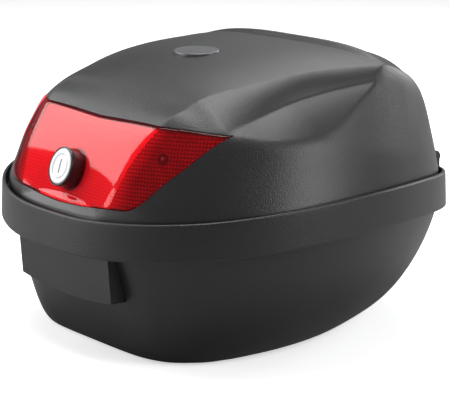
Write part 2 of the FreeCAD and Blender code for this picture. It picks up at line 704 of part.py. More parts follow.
def oval(grow, z, height):
    """badge ellipse grown outwards, extruded from z and tilted"""
    ellipse = Part.Ellipse(V(0, BADGE_Y, z), BADGE_RX+grow, BADGE_RY+grow).toShape()
    disc = Part.Face(Part.Wire([ellipse])).extrude(V(0, 0, height))
    disc.rotate(V(0, BADGE_Y, z), V(1, 0, 0), math.degrees(math.atan(BADGE_SLOPE)))
    return disc


def top_badge():
    return fillet(oval(0, BADGE_TOP-9.5, 9.5), 1.1,
                  lambda edge: edge.CenterOfMass.z > BADGE_TOP-1 and edge.Length > 60)


# ================= hinges =================
HINGE_X0, HINGE_X1 = HINGE_X-HINGE_HALF, HINGE_X+HINGE_HALF
KNUCKLE = 6.2                                 # width of a base knuckle
KNUCKLE_R, PIN_R, PIN_HOLE_R = 5.0, 2.0, 2.05
LEAF_FRONT = HINGE_Y+1.5                      # front face of the base leaf
LEAF_SCREW_Z = 155.0                          # screws into the lid


def barrel(x0, x1, radius):
    return cyl(radius, (x0, HINGE_Y, HINGE_Z), X_AXIS, x1-x0)


def lid_front(x, z):
    """outer lid surface on the hinge side at x, z and its normal"""
    low, high = 120.0, 201.0
    for _ in range(40):
        middle = (low+high)/2
        if depth_inside(x, middle) > LID_EDGE and lid_height(x, middle) > z:
            low = middle
        else:
            high = middle
    step, y = 1.5, low-0.05
    normal = unit_normal((lid_height(x+step, y)-lid_height(x-step, y))/(2*step),
                         (lid_height(x, y)-lid_height(x, y-2*step))/(2*step))
    return V(x, low, z), V(*normal)


LEAF_SEATS = [lid_front(x, LEAF_SCREW_Z) for x in (HINGE_X-7.5, HINGE_X+7.5)]
LEAF_HOLES = [cyl(HOLE_R, point-normal*12, normal, 30) for point, normal in LEAF_SEATS]


def hinge_leaf_base():
    belt = skin(-3.45, 0.75)
    leaf = box(HINGE_X0, HINGE_X1, 150, LEAF_FRONT, 104, 122.0).cut(belt)
    for x0, x1 in ((HINGE_X0, HINGE_X0+KNUCKLE), (HINGE_X1-KNUCKLE, HINGE_X1)):
        leaf = leaf.fuse(box(x0, x1, HINGE_Y-4.6, HINGE_Y+4.6, 114, HINGE_Z))
        leaf = leaf.fuse(barrel(x0, x1, KNUCKLE_R))
        leaf = leaf.fuse(box(x0, x1, 150, LEAF_FRONT, 112, 125.4).cut(belt))
    leaf = leaf.cut(barrel(HINGE_X0-5, HINGE_X1+5, PIN_HOLE_R))
    leaf = leaf.cut(box(HINGE_X0+KNUCKLE, HINGE_X1-KNUCKLE, HINGE_Y-7.5, HINGE_Y+9, 123.0, 140))
    leaf = leaf.cut(belt)
    holes = [cyl(HOLE_R, (x, 150, HINGE_HOLE_Z), Y_AXIS, 70) for x in HINGE_HOLE_XS]
    # spot faces for the heads
    holes += [cyl(3.25, (x, LEAF_FRONT, HINGE_HOLE_Z), Y_AXIS, 12) for x in HINGE_HOLE_XS]
    return both_sides([largest(cut_each(leaf, holes))])


def hinge_leaf_lid():
    x0, x1 = HINGE_X0+6.5, HINGE_X1-6.5
    plate = box(x0-7, x1+7, 120, 215, HINGE_Z-1.0, 166).common(dome(3.6))
    leaf = barrel(x0, x1, KNUCKLE_R)
    leaf = leaf.fuse(box(x0, x1, 170, HINGE_Y, HINGE_Z-2.5, HINGE_Z+4.5))
    leaf = leaf.fuse(plate).cut(dome(0.1)).cut(barrel(x0-1, x1+1, PIN_HOLE_R))
    # room for the base knuckles
    for a, b in ((x0-8, x0), (x1, x1+8)):
        leaf = leaf.cut(box(a, b, HINGE_Y-6, HINGE_Y+6, 100, 150))
    return both_sides([cut_each(largest(leaf), LEAF_HOLES)])


def hinge_screws_lid():
    return both_sides([screw(point+normal*3.75, -normal, 3.0, 1.7, 9.5)
                       for point, normal in LEAF_SEATS])


def hinge_pins():
    pins = []
    for side in SIDES:
        x0 = side*HINGE_X-HINGE_HALF-1.0
        x1 = side*HINGE_X+HINGE_HALF+1.0
        pin = barrel(x0, x1, PIN_R).fuse(barrel(x0-1.4, x0, 3.4)).fuse(barrel(x1, x1+1.4, 3.4))
        pins.append(pin)
    return pins


def hinge_screws_base():
    return [screw((side*x, LEAF_FRONT+0.05, HINGE_HOLE_Z), REARWARD, 3.0, 1.7, 14.0)
            for side in SIDES for x in HINGE_HOLE_XS]


# ================= lid =================
def lid_shell():
    outer = dome(0.0)
    behind_lens = dome(-3.5)
    shell = outer.cut(dome(-WALL, WALL-WALL_REAR)).common(slab(BELT_TOP-LID_LAP, None))
    shell = shell.cut(lens_prism(0.4).cut(behind_lens))
    # lock boss and its bore
    shell = shell.fuse(lock_cyl(21.0, -9.0, -5.0).common(behind_lens))
    shell = shell.cut(lock_cyl(14.65, -30, 10)).cut(lock_cyl(17.9, -4.2, 30))
    shell = shell.cut(lock_cyl(21.5, -18.0, -9.0))
    # latch boss
    shell = shell.fuse(box(-24, 24, -197, -188.05, 118.9, 131.0).common(outer))
    shell = cut_each(shell, [lens_cyl(2.6, -20, 30, side) for side in SIDES])
    # badge seat
    shell = shell.fuse(oval(4.0, BADGE_TOP-12.0, 9.0).common(outer))
    shell = shell.cut(oval(0.15, BADGE_TOP-9.6, 30))
    shell = cut_each(shell, both_sides(LEAF_HOLES))
    shell = clean_solids([largest(shell)])[0]
    return cut_each(shell, [cyl(HOLE_R, (side*LATCH_HOLE_X, -196.5, LATCH_HOLE_Z), Y_AXIS, 20)
                            for side in SIDES])


# ================= lock =================
COLLAR_R, COLLAR_FACE = 17.5, 9.9
CAP_R, CAP_FACE = 16.0, 10.0
PLUG_R, PLUG_FACE = 10.4, 9.9
TAIL_HOLE_R = 2.65                            # hole over the tail of the plug


def lock_collar():
    collar = lock_cyl(COLLAR_R, -4.15, COLLAR_FACE).cut(lock_cyl(16.15, 3.0, 12))
    collar = collar.fuse(lock_cyl(14.5, -14.6, -4.0)).cut(lock_cyl(12.05, -20, 4))
    return collar.makeFillet(0.8, rim_edges(collar, COLLAR_R, lock_point(COLLAR_FACE)))


def lock_washer():
    return lock_cyl(19.5, -10.1, -9.1).cut(lock_cyl(14.7, -12, -8))


def lock_nut():
    corner_r = 20.0
    turns = [math.radians(60*i+30) for i in range(6)]
    points = [lock_point(-13.2, corner_r*math.cos(a), corner_r*math.sin(a)) for a in turns]
    body = Part.Face(Part.makePolygon(points+points[:1])).extrude(LOCK_AXIS*3.0)
    return body.cut(lock_cyl(14.6, -16, -8))


def lock_button():
    cap = lock_cyl(CAP_R, 5.2, CAP_FACE)
    cap = cap.makeFillet(1.6, rim_edges(cap, CAP_R, lock_point(CAP_FACE)))
    button = cap.fuse(lock_cyl(12.0, -22.0, 5.2)).cut(lock_cyl(10.45, -30, 20))
    return button.cut(Part.makeCone(10.4, 11.2, 0.8, lock_point(9.3), LOCK_AXIS))


def lock_plug():
    """key cylinder with a stepped key slot and a thin tail"""
    plug = lock_cyl(PLUG_R, -24.0, PLUG_FACE)
    plug = plug.makeChamfer(0.4, rim_edges(plug, PLUG_R, lock_point(PLUG_FACE)))
    plug = plug.cut(lock_box(-1.0, 0.6, -6.2, 0.5, -8, 12))
    plug = plug.cut(lock_box(-0.6, 1.0, -0.5, 6.2, -8, 12))
    return plug.fuse(lock_cyl(2.6, -29.0, -24.0))


def lock_cam():
    cam = lock_cyl(6.0, -27.6, -24.4).fuse(lock_box(-4.0, 4.0, -14.0, 0.0, -27.6, -24.4))
    return cam.cut(lock_cyl(TAIL_HOLE_R, -40, 0))


def lock_cam_nut():
    return lock_cyl(4.4, -29.6, -27.7).cut(lock_cyl(TAIL_HOLE_R, -40, 0))


def lock_pusher():
    pusher = lock_cyl(15.0, -22.0, -18.4).fuse(lock_box(-6.0, 6.0, 10.0, 19.5, -22.0, -18.4))
    return pusher.cut(lock_cyl(12.0, -40, 0))


# ================= latch =================
def latch_bracket():
    bracket = box(-22, 22, -188, -186, 119.2, 131)
    for side in SIDES:
        bracket = bracket.fuse(side_box(side, 8.8, 10.8, -187, -167.5, 116.2, 127))
    bracket = bracket.cut(cyl(2.02, (-30, PIVOT_Y, PIVOT_Z), X_AXIS, 60))
    return cut_each(bracket, [cyl(HOLE_R, (side*LATCH_HOLE_X, -200, LATCH_HOLE_Z), Y_AXIS, 30)
                              for side in SIDES])


def latch_bracket_screws():
    return [screw((side*LATCH_HOLE_X, -186, LATCH_HOLE_Z), REARWARD, 3.0, 1.9, 8.6)
            for side in SIDES]


def latch_pivot_pin():
    pin = cyl(2.0, (-12.2, PIVOT_Y, PIVOT_Z), X_AXIS, 24.4)
    return pin.fuse(cyl(3.2, (-13.4, PIVOT_Y, PIVOT_Z), X_AXIS, 1.2))


def latch_hook():
    """hook on the pivot, its upper arm behind the lock pusher"""
    y, z, half = PIVOT_Y, PIVOT_Z, 8.4
    arm = [lock_point(-22.4, 12.8), lock_point(-22.4, 20.0), lock_point(-26.4, 12.8)]
    arm = [(p.y, p.z) for p in arm]
    outline = arm[:2]+[
        (y-4.2, z+2.0), (y-4.2, 103.0), (y-3.2, 101.2), (y+1.0, 101.2), (y+3.2, 103.0),
        (y+3.2, 104.9), (y-0.4, 104.9), (y-0.4, z-5.5), (y+3.6, z-1.0), (y+3.8, z+2.5)]+arm[2:]
    hook = prism_x(outline, -half, half).fuse(cyl(4.2, (-half, y, z), X_AXIS, 2*half))
    return hook.cut(cyl(2.05, (-20, y, z), X_AXIS, 40))


# each function is named after the file it fills
PIECES = (
    base_shell, rim_seal, rubber_feet, rear_grip, grip_screws, striker_plate, striker_screws,
    carrier_hooks, carrier_hook_screws, release_housing, release_housing_screws,
    release_button, release_bolt, release_spring, floor_mat, reflector_lens,
    reflector_insert, lens_screws, top_badge, hinge_leaf_base, hinge_leaf_lid,
    hinge_screws_lid, hinge_pins, hinge_screws_base, lid_shell, lock_collar, lock_washer,
    lock_nut, lock_button, lock_plug, lock_cam, lock_cam_nut, lock_pusher, latch_bracket,
    latch_bracket_screws, latch_pivot_pin, latch_hook)

os.makedirs("parts", exist_ok=True)
for build in PIECES:
    made = build()
    solids = clean_solids(made if isinstance(made, list) else [made])
    piece = solids[0] if len(solids) == 1 else Part.makeCompound(solids)
    piece.exportStep("parts/%s.step" % build.__name__)
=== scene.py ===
# Top case for a motorcycle: a domed lid with a red reflector and lock across its rear, on a
# tub with a belt round its rim. Lengths are mm, scaled to metres when a mesh is made.
# +Z is up, -Y the rear (reflector side), and the case is symmetric about x = 0.
# Angles in plan run from +X, so -90 degrees is the rear.
import bpy
import bmesh
import math
from bisect import bisect_right
from functools import partial
from mathutils import Matrix, Vector


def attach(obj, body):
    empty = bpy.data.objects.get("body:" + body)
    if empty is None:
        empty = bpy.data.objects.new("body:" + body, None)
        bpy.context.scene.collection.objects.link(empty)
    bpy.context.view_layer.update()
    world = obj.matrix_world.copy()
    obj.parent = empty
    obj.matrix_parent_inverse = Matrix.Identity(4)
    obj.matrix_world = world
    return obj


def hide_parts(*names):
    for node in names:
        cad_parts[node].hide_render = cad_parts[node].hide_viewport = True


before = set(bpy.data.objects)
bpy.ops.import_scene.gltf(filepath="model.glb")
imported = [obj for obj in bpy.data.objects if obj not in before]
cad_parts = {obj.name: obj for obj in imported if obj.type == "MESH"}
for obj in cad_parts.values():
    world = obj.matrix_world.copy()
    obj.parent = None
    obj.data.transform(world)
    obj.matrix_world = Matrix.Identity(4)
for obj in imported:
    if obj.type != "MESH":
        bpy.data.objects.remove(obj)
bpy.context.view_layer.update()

MM = 0.001

WALL = 3.0            # wall thickness of lid and tub
REAR_WALL = 7.0       # wall thickness of the lid at the rear
LID_INSET = 6.5       # lid wall, inwards from the belt outline
LAP = 8.2             # how far the lid reaches below the belt's upper edge
SEAL_DEPTH = 14.0     # seal channel floor below the belt's upper edge
FLOOR_Z = 1.2         # underside of the tub
BELT_Z = 113.0        # lower edge of the belt at y = 0
BELT_HEIGHT = 32.4
BELT_SAG = 18.7       # drop of the belt at y = +-200
REAR_Y, REAR_LEAN = 162.0, 0.27   # flat rear wall: distance behind x axis, gain per mm of z


# ---------------- curves ----------------
def curve(points):
    """monotone cubic through (position, value) pairs, straight beyond both ends"""
    xs, ys = zip(*points)
    widths = [b-a for a, b in zip(xs, xs[1:])]
    rises = [(b-a)/w for a, b, w in zip(ys, ys[1:], widths)]
    slopes = [rises[0]]
    for w0, w1, r0, r1 in zip(widths, widths[1:], rises, rises[1:]):
        if r0*r1 <= 0:
            slopes.append(0.0)
        else:
            slopes.append((w0+w1)*3/((2*w1+w0)/r0+(w1+2*w0)/r1))
    slopes.append(rises[-1])

    def value(x):
        if x <= xs[0]:
            return ys[0]+slopes[0]*(x-xs[0])
        if x >= xs[-1]:
            return ys[-1]+slopes[-1]*(x-xs[-1])
        i = bisect_right(xs, x)-1
        return hermite(xs[i], ys[i], slopes[i], xs[i+1], ys[i+1], slopes[i+1], x)
    return value


def hermite(x0, z0, slope0, x1, z1, slope1, x):
    width = x1-x0
    t = (x-x0)/width
    ease = t*t*(3-2*t)
    return z0*(1-ease)+z1*ease+width*(slope0*t*(1-t)**2-slope1*t*t*(1-t))


def clamp(value):
    return min(max(value, 0.0), 1.0)


def smooth_step(value):
    t = clamp(value)
    return t*t*(3-2*t)


def smooth_min(a, b, blend):
    """minimum with a rounded change-over, blend = its size in mm"""
    h = max(blend-abs(a-b), 0.0)/blend
    return min(a, b)-h*h*blend*0.25


# ---------------- plan outline: outer top edge of the belt ----------------
# (plan angle in degrees, radius)
OUTLINE = [
    (-90, 209.0), (-77.1, 212.0), (-64.3, 216.2), (-51.4, 220.2), (-45, 221.2), (-38.6, 220.2),
    (-25.7, 212.3), (-12.9, 200.0), (0, 189.5), (12.9, 182.5), (25.7, 179.5), (38.6, 181.5),
    (51.4, 187.0), (64.3, 193.5), (77.1, 199.0), (90, 201.5)]
ANGLES = [math.radians(degrees) for degrees, _ in OUTLINE]
RADII = [radius for _, radius in OUTLINE]


def outline_bends():
    """second derivatives of the cubic spline through OUTLINE, level at both ends"""
    steps = [b-a for a, b in zip(ANGLES, ANGLES[1:])]
    rises = [(b-a)/s for a, b, s in zip(RADII, RADII[1:], steps)]
    diagonal = [2*steps[0]]+[2*(a+b) for a, b in zip(steps, steps[1:])]+[2*steps[-1]]
    bends = [6*rises[0]]+[6*(b-a) for a, b in zip(rises, rises[1:])]+[-6*rises[-1]]
    for i, step in enumerate(steps):
        factor = step/diagonal[i]
        diagonal[i+1] -= factor*step
        bends[i+1] -= factor*bends[i]
    bends[-1] /= diagonal[-1]
    for i in reversed(range(len(steps))):
        bends[i] = (bends[i]-steps[i]*bends[i+1])/diagonal[i]
    return bends


BENDS = outline_bends()


def fold(angle):
    """the same plan angle on the +X side"""
    return math.atan2(math.sin(angle), abs(math.cos(angle)))


def outline_radius(angle):
    t = fold(angle)
    i = min(max(bisect_right(ANGLES, t)-1, 0), len(ANGLES)-2)
    step = ANGLES[i+1]-ANGLES[i]
    a = (ANGLES[i+1]-t)/step
    b = 1-a
    bend = (a**3-a)*BENDS[i]+(b**3-b)*BENDS[i+1]
    return a*RADII[i]+b*RADII[i+1]+bend*step*step/6


def outline_slope(angle, e):
    return (outline_radius(angle+e)-outline_radius(angle-e))/(2*e)


def inset_point(angle, inset):
    """point on the outline moved inwards along its normal"""
    radius, slope = outline_radius(angle), outline_slope(angle, 1e-4)
    c, s = math.cos(angle), math.sin(angle)
    tx, ty = slope*c-radius*s, slope*s+radius*c
    length = math.hypot(tx, ty)
    return radius*c-inset*ty/length, radius*s+inset*tx/length


def inset_at(x, y):
    """distance inwards from the outline, good near the edge"""
    angle = math.atan2(y, x)
    radius = outline_radius(angle)
    return (radius-math.hypot(x, y))*radius/math.hypot(radius, outline_slope(angle, 1e-3))


def belt_bottom(y):
    return BELT_Z-BELT_SAG*(y/200.0)**2


def belt_top(y):
    return BELT_Z+BELT_HEIGHT-BELT_SAG*(y/200.0)**2


# ---------------- lid surface ----------------
# all curves run along y, as (y, value)
CROWN_Z = curve([  # height on the centre line, up to the step at y = 51 to 58
    (-205, 100), (-196, 122), (-193, 133), (-188, 151), (-183, 164), (-176, 177.5), (-165, 191),
    (-152, 202.5), (-141, 211.5), (-128, 220.5), (-100, 236.5), (-75, 245.4), (-50, 249.8),
    (-25, 252.2), (0, 253.4), (30, 253.8), (56, 252.6)])
FRONT_CROWN_Z = curve([  # the same, in front of the step
    (56, 256.9), (62, 256.6), (75, 252.6), (100, 245.5), (125, 238.5), (150, 226), (170, 209),
    (185, 184), (195, 145), (200, 110)])
SHOULDER_X = curve([
    (-205, 70), (-194, 73), (-187, 76), (-177, 78.5), (-165, 83), (-152, 88), (-141, 92.5),
    (-128, 96), (-116.5, 97.5), (-99, 102), (-82, 108), (-64.5, 113), (-46.5, 117), (-15, 121),
    (15.5, 126), (35.5, 131), (52, 135), (62, 131), (80, 118), (102, 103), (122, 91), (145, 80),
    (160, 76), (200, 60)])
SHOULDER_Z = curve([
    (-205, 118), (-194, 139.5), (-187, 155), (-177, 174), (-165, 190.5), (-152, 203.5),
    (-141, 212.5), (-128, 218.5), (-116.5, 225), (-99, 229.7), (-82, 233.5), (-64.5, 236.8),
    (-46.5, 239.6), (-15, 243), (15.5, 244), (35.5, 244.5), (50, 244.4), (56, 244.4),
    (62, 243.8), (80, 239.0), (102, 232.0), (122, 222), (145, 204), (160, 180), (200, 110)])
CREASE_X = curve([  # outer end of the curve that falls from the shoulder
    (-196, 82), (-191, 93), (-185, 99), (-181, 103), (-173, 109), (-164, 117), (-155.5, 125),
    (-144, 130.5), (-134, 136.5), (-119.5, 142), (-113, 139), (-90, 136), (-45, 136), (20, 142),
    (69, 149), (100, 140), (150, 110), (200, 70)])
CREASE_Z = curve([
    (-196, 134), (-191, 138), (-185, 141), (-181, 145), (-173, 154), (-164, 165),
    (-155.5, 173.5), (-144, 183), (-134, 192), (-119.5, 200), (-113, 203), (-90, 209),
    (-45, 221), (20, 230.4), (50, 233), (69, 232), (100, 214), (150, 170), (200, 90)])
KNEE_Z = curve([  # height where the flank starts to lean in more
    (-210, 130), (-185, 141), (-164, 165), (-134, 192), (-119.5, 200), (-50, 190), (47, 170),
    (110, 160), (210, 140)])
FLANK_LEAN = curve([  # inward lean of the lower flank, mm per mm of height
    (-210, 0.15), (-185, 0.17), (-173, 0.3), (-164, 0.38), (-144, 0.44), (-119.5, 0.46),
    (-50, 0.32), (47, 0.2), (100, 0.176), (210, 0.176)])


def dome_height(x, y):
    """top of the lid, without the flanks"""
    x = abs(x)
    step = smooth_step((y-51.0)/7.0)
    if step == 0:
        crown = CROWN_Z(y)
    elif step == 1:
        crown = FRONT_CROWN_Z(y)
    else:
        crown = CROWN_Z(y)*(1-step)+FRONT_CROWN_Z(56.0)*step
    shoulder_x, shoulder_z = SHOULDER_X(y), SHOULDER_Z(y)
    crease_x, crease_z = CREASE_X(y), CREASE_Z(y)
    if x <= shoulder_x:
        # flatter crown towards the front
        power = 2.0+1.5*clamp((y+150)/150)
        return crown+(shoulder_z-crown)*(x/shoulder_x)**power
    if x <= crease_x and crease_x-shoulder_x > 4:
        slope = (crease_z-shoulder_z)/(crease_x-shoulder_x)
        w = clamp((y+130)/60.0)
        return hermite(shoulder_x, shoulder_z, slope*(0.7-0.25*w),
                       crease_x, crease_z, slope*(1.35+0.35*w), x)
    out = x-crease_x
    return crease_z-out*(0.45 if y > -130 else 0.8)-(0.0036+clamp((y+97)/115.0)*0.010)*out**2


def lid_height(x, y):
    inset = inset_at(x, y)
    rim = belt_top(y)
    lean = FLANK_LEAN(y)
    flank = rim+(inset-LID_INSET)/lean
    knee = KNEE_Z(y)
    knee_inset = LID_INSET+(knee-rim)*lean
    above_knee = knee+(inset-knee_inset)/(lean+0.12-0.06*clamp((y-10)/70.0))
    dome = dome_height(x, y)
    if y < -150:
        # keeps the dome above the rim at the rear
        dome = max(dome, min(rim+(inset-LID_INSET)*0.9, rim+12))
    return smooth_min(smooth_min(flank, above_knee, 2.0), dome, 6.0+8*clamp((y-20)/60.0))


def lid_normal(x, y, e):
    slope_x = (lid_height(x+e, y)-lid_height(x-e, y))/(2*e)
    slope_y = (lid_height(x, y+e)-lid_height(x, y-e))/(2*e)
    length = math.sqrt(1+slope_x*slope_x+slope_y*slope_y)
    return (-slope_x/length, -slope_y/length, 1/length)


# ---------------- tub surface ----------------
# along the folded plan angle, as (degrees, value)
FLOOR_INSET = curve([
    (-90, 45), (-70, 43), (-60, 42), (-50, 53), (-40, 68), (-25, 81), (0, 88), (25, 91.5),
    (50, 88), (90, 76)])
WALL_DRAFT = curve([(-90, 0.20), (-50, 0.20), (0, 0.2), (50, 0.25), (90, 0.25)])
ROUNDNESS = curve([(-90, 4.0), (-60, 3.6), (-40, 2.8), (0, 2.2), (50, 2.0), (90, 2.0)])
TOP_INSET = curve([(-90, 11), (-40, 11), (0, 9), (50, 7), (90, 7)])


def tub_inset(angle, z):
    degrees = math.degrees(fold(angle))
    top_z = belt_bottom(outline_radius(angle)*math.sin(angle))
    depth = clamp((top_z-z)/top_z)
    z = min(z, top_z)
    top, draft = TOP_INSET(degrees), WALL_DRAFT(degrees)
    bulge = 1-math.sqrt(max(1-depth**ROUNDNESS(degrees), 0.0))
    return top+draft*(top_z-z)+(FLOOR_INSET(degrees)-top-draft*top_z)*bulge


def tub_point(angle, z, inwards=0.0):
    x, y = inset_point(angle, tub_inset(angle, z)+inwards)
    if y < -100:
        y = -smooth_min(-y, REAR_Y+REAR_LEAN*z-inwards, 7.0)
    return (x, y, z)


# ---------------- shader helpers ----------------
def set_inputs(node, inputs):
    """set input values, or link those given as sockets"""
    for key, value in inputs.items():
        if isinstance(value, bpy.types.NodeSocket):
            node.id_data.links.new(value, node.inputs[key])
        else:
            node.inputs[key].default_value = value


def add_node(tree, kind, inputs={}, **settings):
    node = tree.nodes.new("ShaderNode"+kind)
    for key, value in settings.items():
        setattr(node, key, value)
    set_inputs(node, inputs)
    return node


def new_material(name):
    """empty material and a function that adds nodes to it"""
    material = bpy.data.materials.new(name)
    material.use_nodes = True
    material.node_tree.nodes.clear()
    return material, partial(add_node, material.node_tree)


def multiply(add, a, b):
    return add("Math", {0: a, 1: b}, operation="MULTIPLY").outputs[0]


# ---------------- materials ----------------
def surface(name, color, rough, grain, bump, metal=0.0, spec=0.5, var=0.12, coat=0.0,
            dist=0.0002, stretch=(1, 1, 1)):
    """principled surface; grain = scale of the fine noise, stretched by stretch, that gives
    the bump (strength bump, distance dist in m); var = relative spread of the colour"""
    broad_scale = 14.0
    rough_spread = 0.06
    material, add = new_material(name)
    coords = add("TexCoord").outputs["Object"]
    stretched = add("Mapping", {"Vector": coords, "Scale": stretch}).outputs["Vector"]
    fine = add("TexNoise", {"Vector": stretched, "Scale": grain, "Detail": 3.0}).outputs["Fac"]
    broad = add("TexNoise", {"Vector": coords, "Scale": broad_scale,
                             "Detail": 4.0}).outputs["Fac"]
    both = add("Math", {0: multiply(add, fine, 0.5), 1: multiply(add, broad, 0.5)},
               operation="ADD", use_clamp=True)
    tint = add("MixRGB", {
        "Fac": both.outputs[0],
        "Color1": tuple(c*(1-var) for c in color)+(1,),
        "Color2": tuple(min(c*(1+var), 1) for c in color)+(1,)})
    roughness = add("MapRange", {
        "Value": broad,
        "To Min": max(rough-rough_spread, 0.02),
        "To Max": min(rough+rough_spread, 1.0)})
    shader = add("BsdfPrincipled", {
        "Base Color": tint.outputs["Color"], "Roughness": roughness.outputs["Result"],
        "Metallic": metal, "Specular IOR Level": spec,
        "Coat Weight": coat, "Coat Roughness": 0.08})
    if bump:
        relief = add("Bump", {"Strength": bump, "Distance": dist, "Height": fine})
        set_inputs(shader, {"Normal": relief.outputs["Normal"]})
    add("OutputMaterial", {"Surface": shader.outputs["BSDF"]})
    return material


def lens_material():
    """clear red, a little cloudy, shiny on its outer side only"""
    material, add = new_material("clear_red")
    coords = add("TexCoord").outputs["Object"]
    patches = add("TexNoise", {"Vector": coords, "Scale": 9.0, "Detail": 2.0})
    tint = add("MixRGB", {"Fac": patches.outputs["Fac"], "Color1": (0.98, 0.26, 0.31, 1),
                          "Color2": (0.99, 0.30, 0.35, 1)})
    clear = add("BsdfTransparent", {"Color": tint.outputs["Color"]})
    ripples = add("TexNoise", {"Vector": coords, "Scale": 30.0})
    normal = add("Bump", {"Strength": 0.05, "Distance": 0.0004,
                          "Height": ripples.outputs["Fac"]}).outputs["Normal"]
    gloss = add("BsdfGlossy", {"Roughness": 0.06, "Normal": normal})
    fresnel = add("Fresnel", {"IOR": 1.5, "Normal": normal})
    cloud = add("BsdfDiffuse", {"Color": (0.8, 0.02, 0.04, 1)})
    body = add("MixShader", {"Fac": 0.04, 1: clear.outputs[0], 2: cloud.outputs[0]})
    backfacing = add("NewGeometry").outputs["Backfacing"]
    outer_side = add("Math", {0: 1.0, 1: backfacing}, operation="SUBTRACT")
    shine = multiply(add, fresnel.outputs[0], outer_side.outputs[0])
    mix = add("MixShader", {"Fac": multiply(add, shine, 0.5),
                            1: body.outputs[0], 2: gloss.outputs[0]})
    add("OutputMaterial", {"Surface": mix.outputs[0]})
    return material


def insert_material():
    """dark to pale red by the point attribute tone (partly painted reflection), with a faint
    painted glow
    """
    material, add = new_material("prismatic_red")
    coords = add("TexCoord").outputs["Object"]
    noise = add("TexNoise", {"Vector": coords, "Scale": 60.0})
    mottle = add("Math", {0: noise.outputs["Fac"], 1: 0.15, 2: -0.07},
                 operation="MULTIPLY_ADD")
    tone = add("Attribute", attribute_name="tone").outputs["Fac"]
    total = add("Math", {0: tone, 1: mottle.outputs[0]}, operation="ADD", use_clamp=True)
    color = add("MixRGB", {"Fac": total.outputs[0], "Color1": (0.10, 0.006, 0.012, 1),
                           "Color2": (1.0, 0.55, 0.60, 1)}).outputs["Color"]
    # the emission is a painted glow: the insert lights itself, most where the tone is pale
    shader = add("BsdfPrincipled", {"Base Color": color, "Roughness": 0.25,
                                    "Emission Color": color, "Emission Strength": 0.10})
    add("OutputMaterial", {"Surface": shader.outputs[0]})
    return material


LID_GRAIN = surface("lid_grain", (0.0135, 0.0138, 0.0145), rough=0.40, grain=850, bump=0.6,
                    dist=0.0006, var=0.25)
BASE_GRAIN = surface("base_grain", (0.0145, 0.0148, 0.0155), rough=0.42, grain=850, bump=0.6,
                     dist=0.0006, spec=0.45, var=0.25)
GRIP = surface("grip_grain", (0.0105, 0.0108, 0.0115), rough=0.42, grain=850, bump=0.5,
               dist=0.0005, spec=0.45)
INNER = surface("inner_plastic", (0.03, 0.031, 0.033), rough=0.5, grain=700, bump=0.2)
HINGE = surface("hinge_plastic", (0.025, 0.026, 0.028), rough=0.42, grain=1000, bump=0.25)
SEAL = surface("seal_rubber", (0.012, 0.012, 0.012), rough=0.7, grain=600, bump=0.15, spec=0.3)
FOOT = surface("foot_rubber", (0.02, 0.02, 0.021), rough=0.75, grain=500, bump=0.3, spec=0.3)
SCREW = surface("screw_zinc", (0.52, 0.52, 0.53), rough=0.34, metal=1.0, grain=500, bump=0.08,
                stretch=(1, 1, 6))
STEEL = surface("plated_steel", (0.58, 0.58, 0.6), rough=0.32, metal=1.0, grain=420, bump=0.1,
                stretch=(8, 1, 1))
PIN = surface("pin_black", (0.02, 0.02, 0.021), rough=0.38, grain=600, bump=0.08)
SPRING = surface("spring_wire", (0.5, 0.5, 0.52), rough=0.28, metal=1.0, grain=600, bump=0.05)
RED = surface("release_red", (0.42, 0.012, 0.014), rough=0.3, grain=800, bump=0.1)
COLLAR = surface("collar_black", (0.014, 0.014, 0.015), rough=0.26, grain=900, bump=0.06,
                 coat=0.3)
SILVER = surface("lock_silver", (0.80, 0.80, 0.82), rough=0.34, metal=0.35, grain=700,
                 bump=0.04, var=0.03)
CORE = surface("lock_core", (0.78, 0.78, 0.80), rough=0.36, metal=0.35, grain=500, bump=0.08,
               var=0.04)
BADGE = surface("badge_grey", (0.075, 0.076, 0.08), rough=0.3, grain=1500, bump=0.08, spec=0.6)
MAT = surface("floor_mat", (0.035, 0.035, 0.04), rough=0.95, grain=1600, bump=0.9,
              dist=0.0005, spec=0.1, var=0.35)
LENS = lens_material()
INSERT = insert_material()


# ---------------- mesh helpers ----------------
def finish_mesh(obj, material, angle):
    """one material, smooth shading, edges sharper than angle (degrees) kept"""
    mesh = obj.data
    mesh.materials.clear()
    if material:
        mesh.materials.append(material)
    for face in mesh.polygons:
        face.material_index = 0
    mesh.shade_smooth()
    mesh.set_sharp_from_angle(angle=math.radians(angle))


def link_object(name, mesh):
    obj = bpy.data.objects.new(name, mesh)
    bpy.context.scene.collection.objects.link(obj)
    return obj


def new_object(name, verts, faces, material, angle=32.0):
    mesh = bpy.data.meshes.new(name)
    mesh.from_pydata([(x*MM, y*MM, z*MM) for x, y, z in verts], [], faces)
    mesh.validate()
    mesh.update()
    obj = link_object(name, mesh)
    finish_mesh(obj, material, angle)
    return obj


def solid(name, verts, faces, material, angle):
    """closed body with its normals turned outwards"""
    obj = new_object(name, verts, faces, material, angle)
    bm = bmesh.new()
    bm.from_mesh(obj.data)
    bmesh.ops.recalc_face_normals(bm, faces=bm.faces)
    if bm.calc_volume(signed=True) < 0:
        bmesh.ops.reverse_faces(bm, faces=bm.faces)
    bm.to_mesh(obj.data)
    bm.free()
    finish_mesh(obj, material, angle)
    return obj


def ring_faces(n, rows, wrap=False):
    faces = []
    for row in range(rows if wrap else rows-1):
        a, b = row*n, (row+1) % rows*n
        for i in range(n):
            j = (i+1) % n
            faces.append((a+i, a+j, b+j, b+i))
    return faces


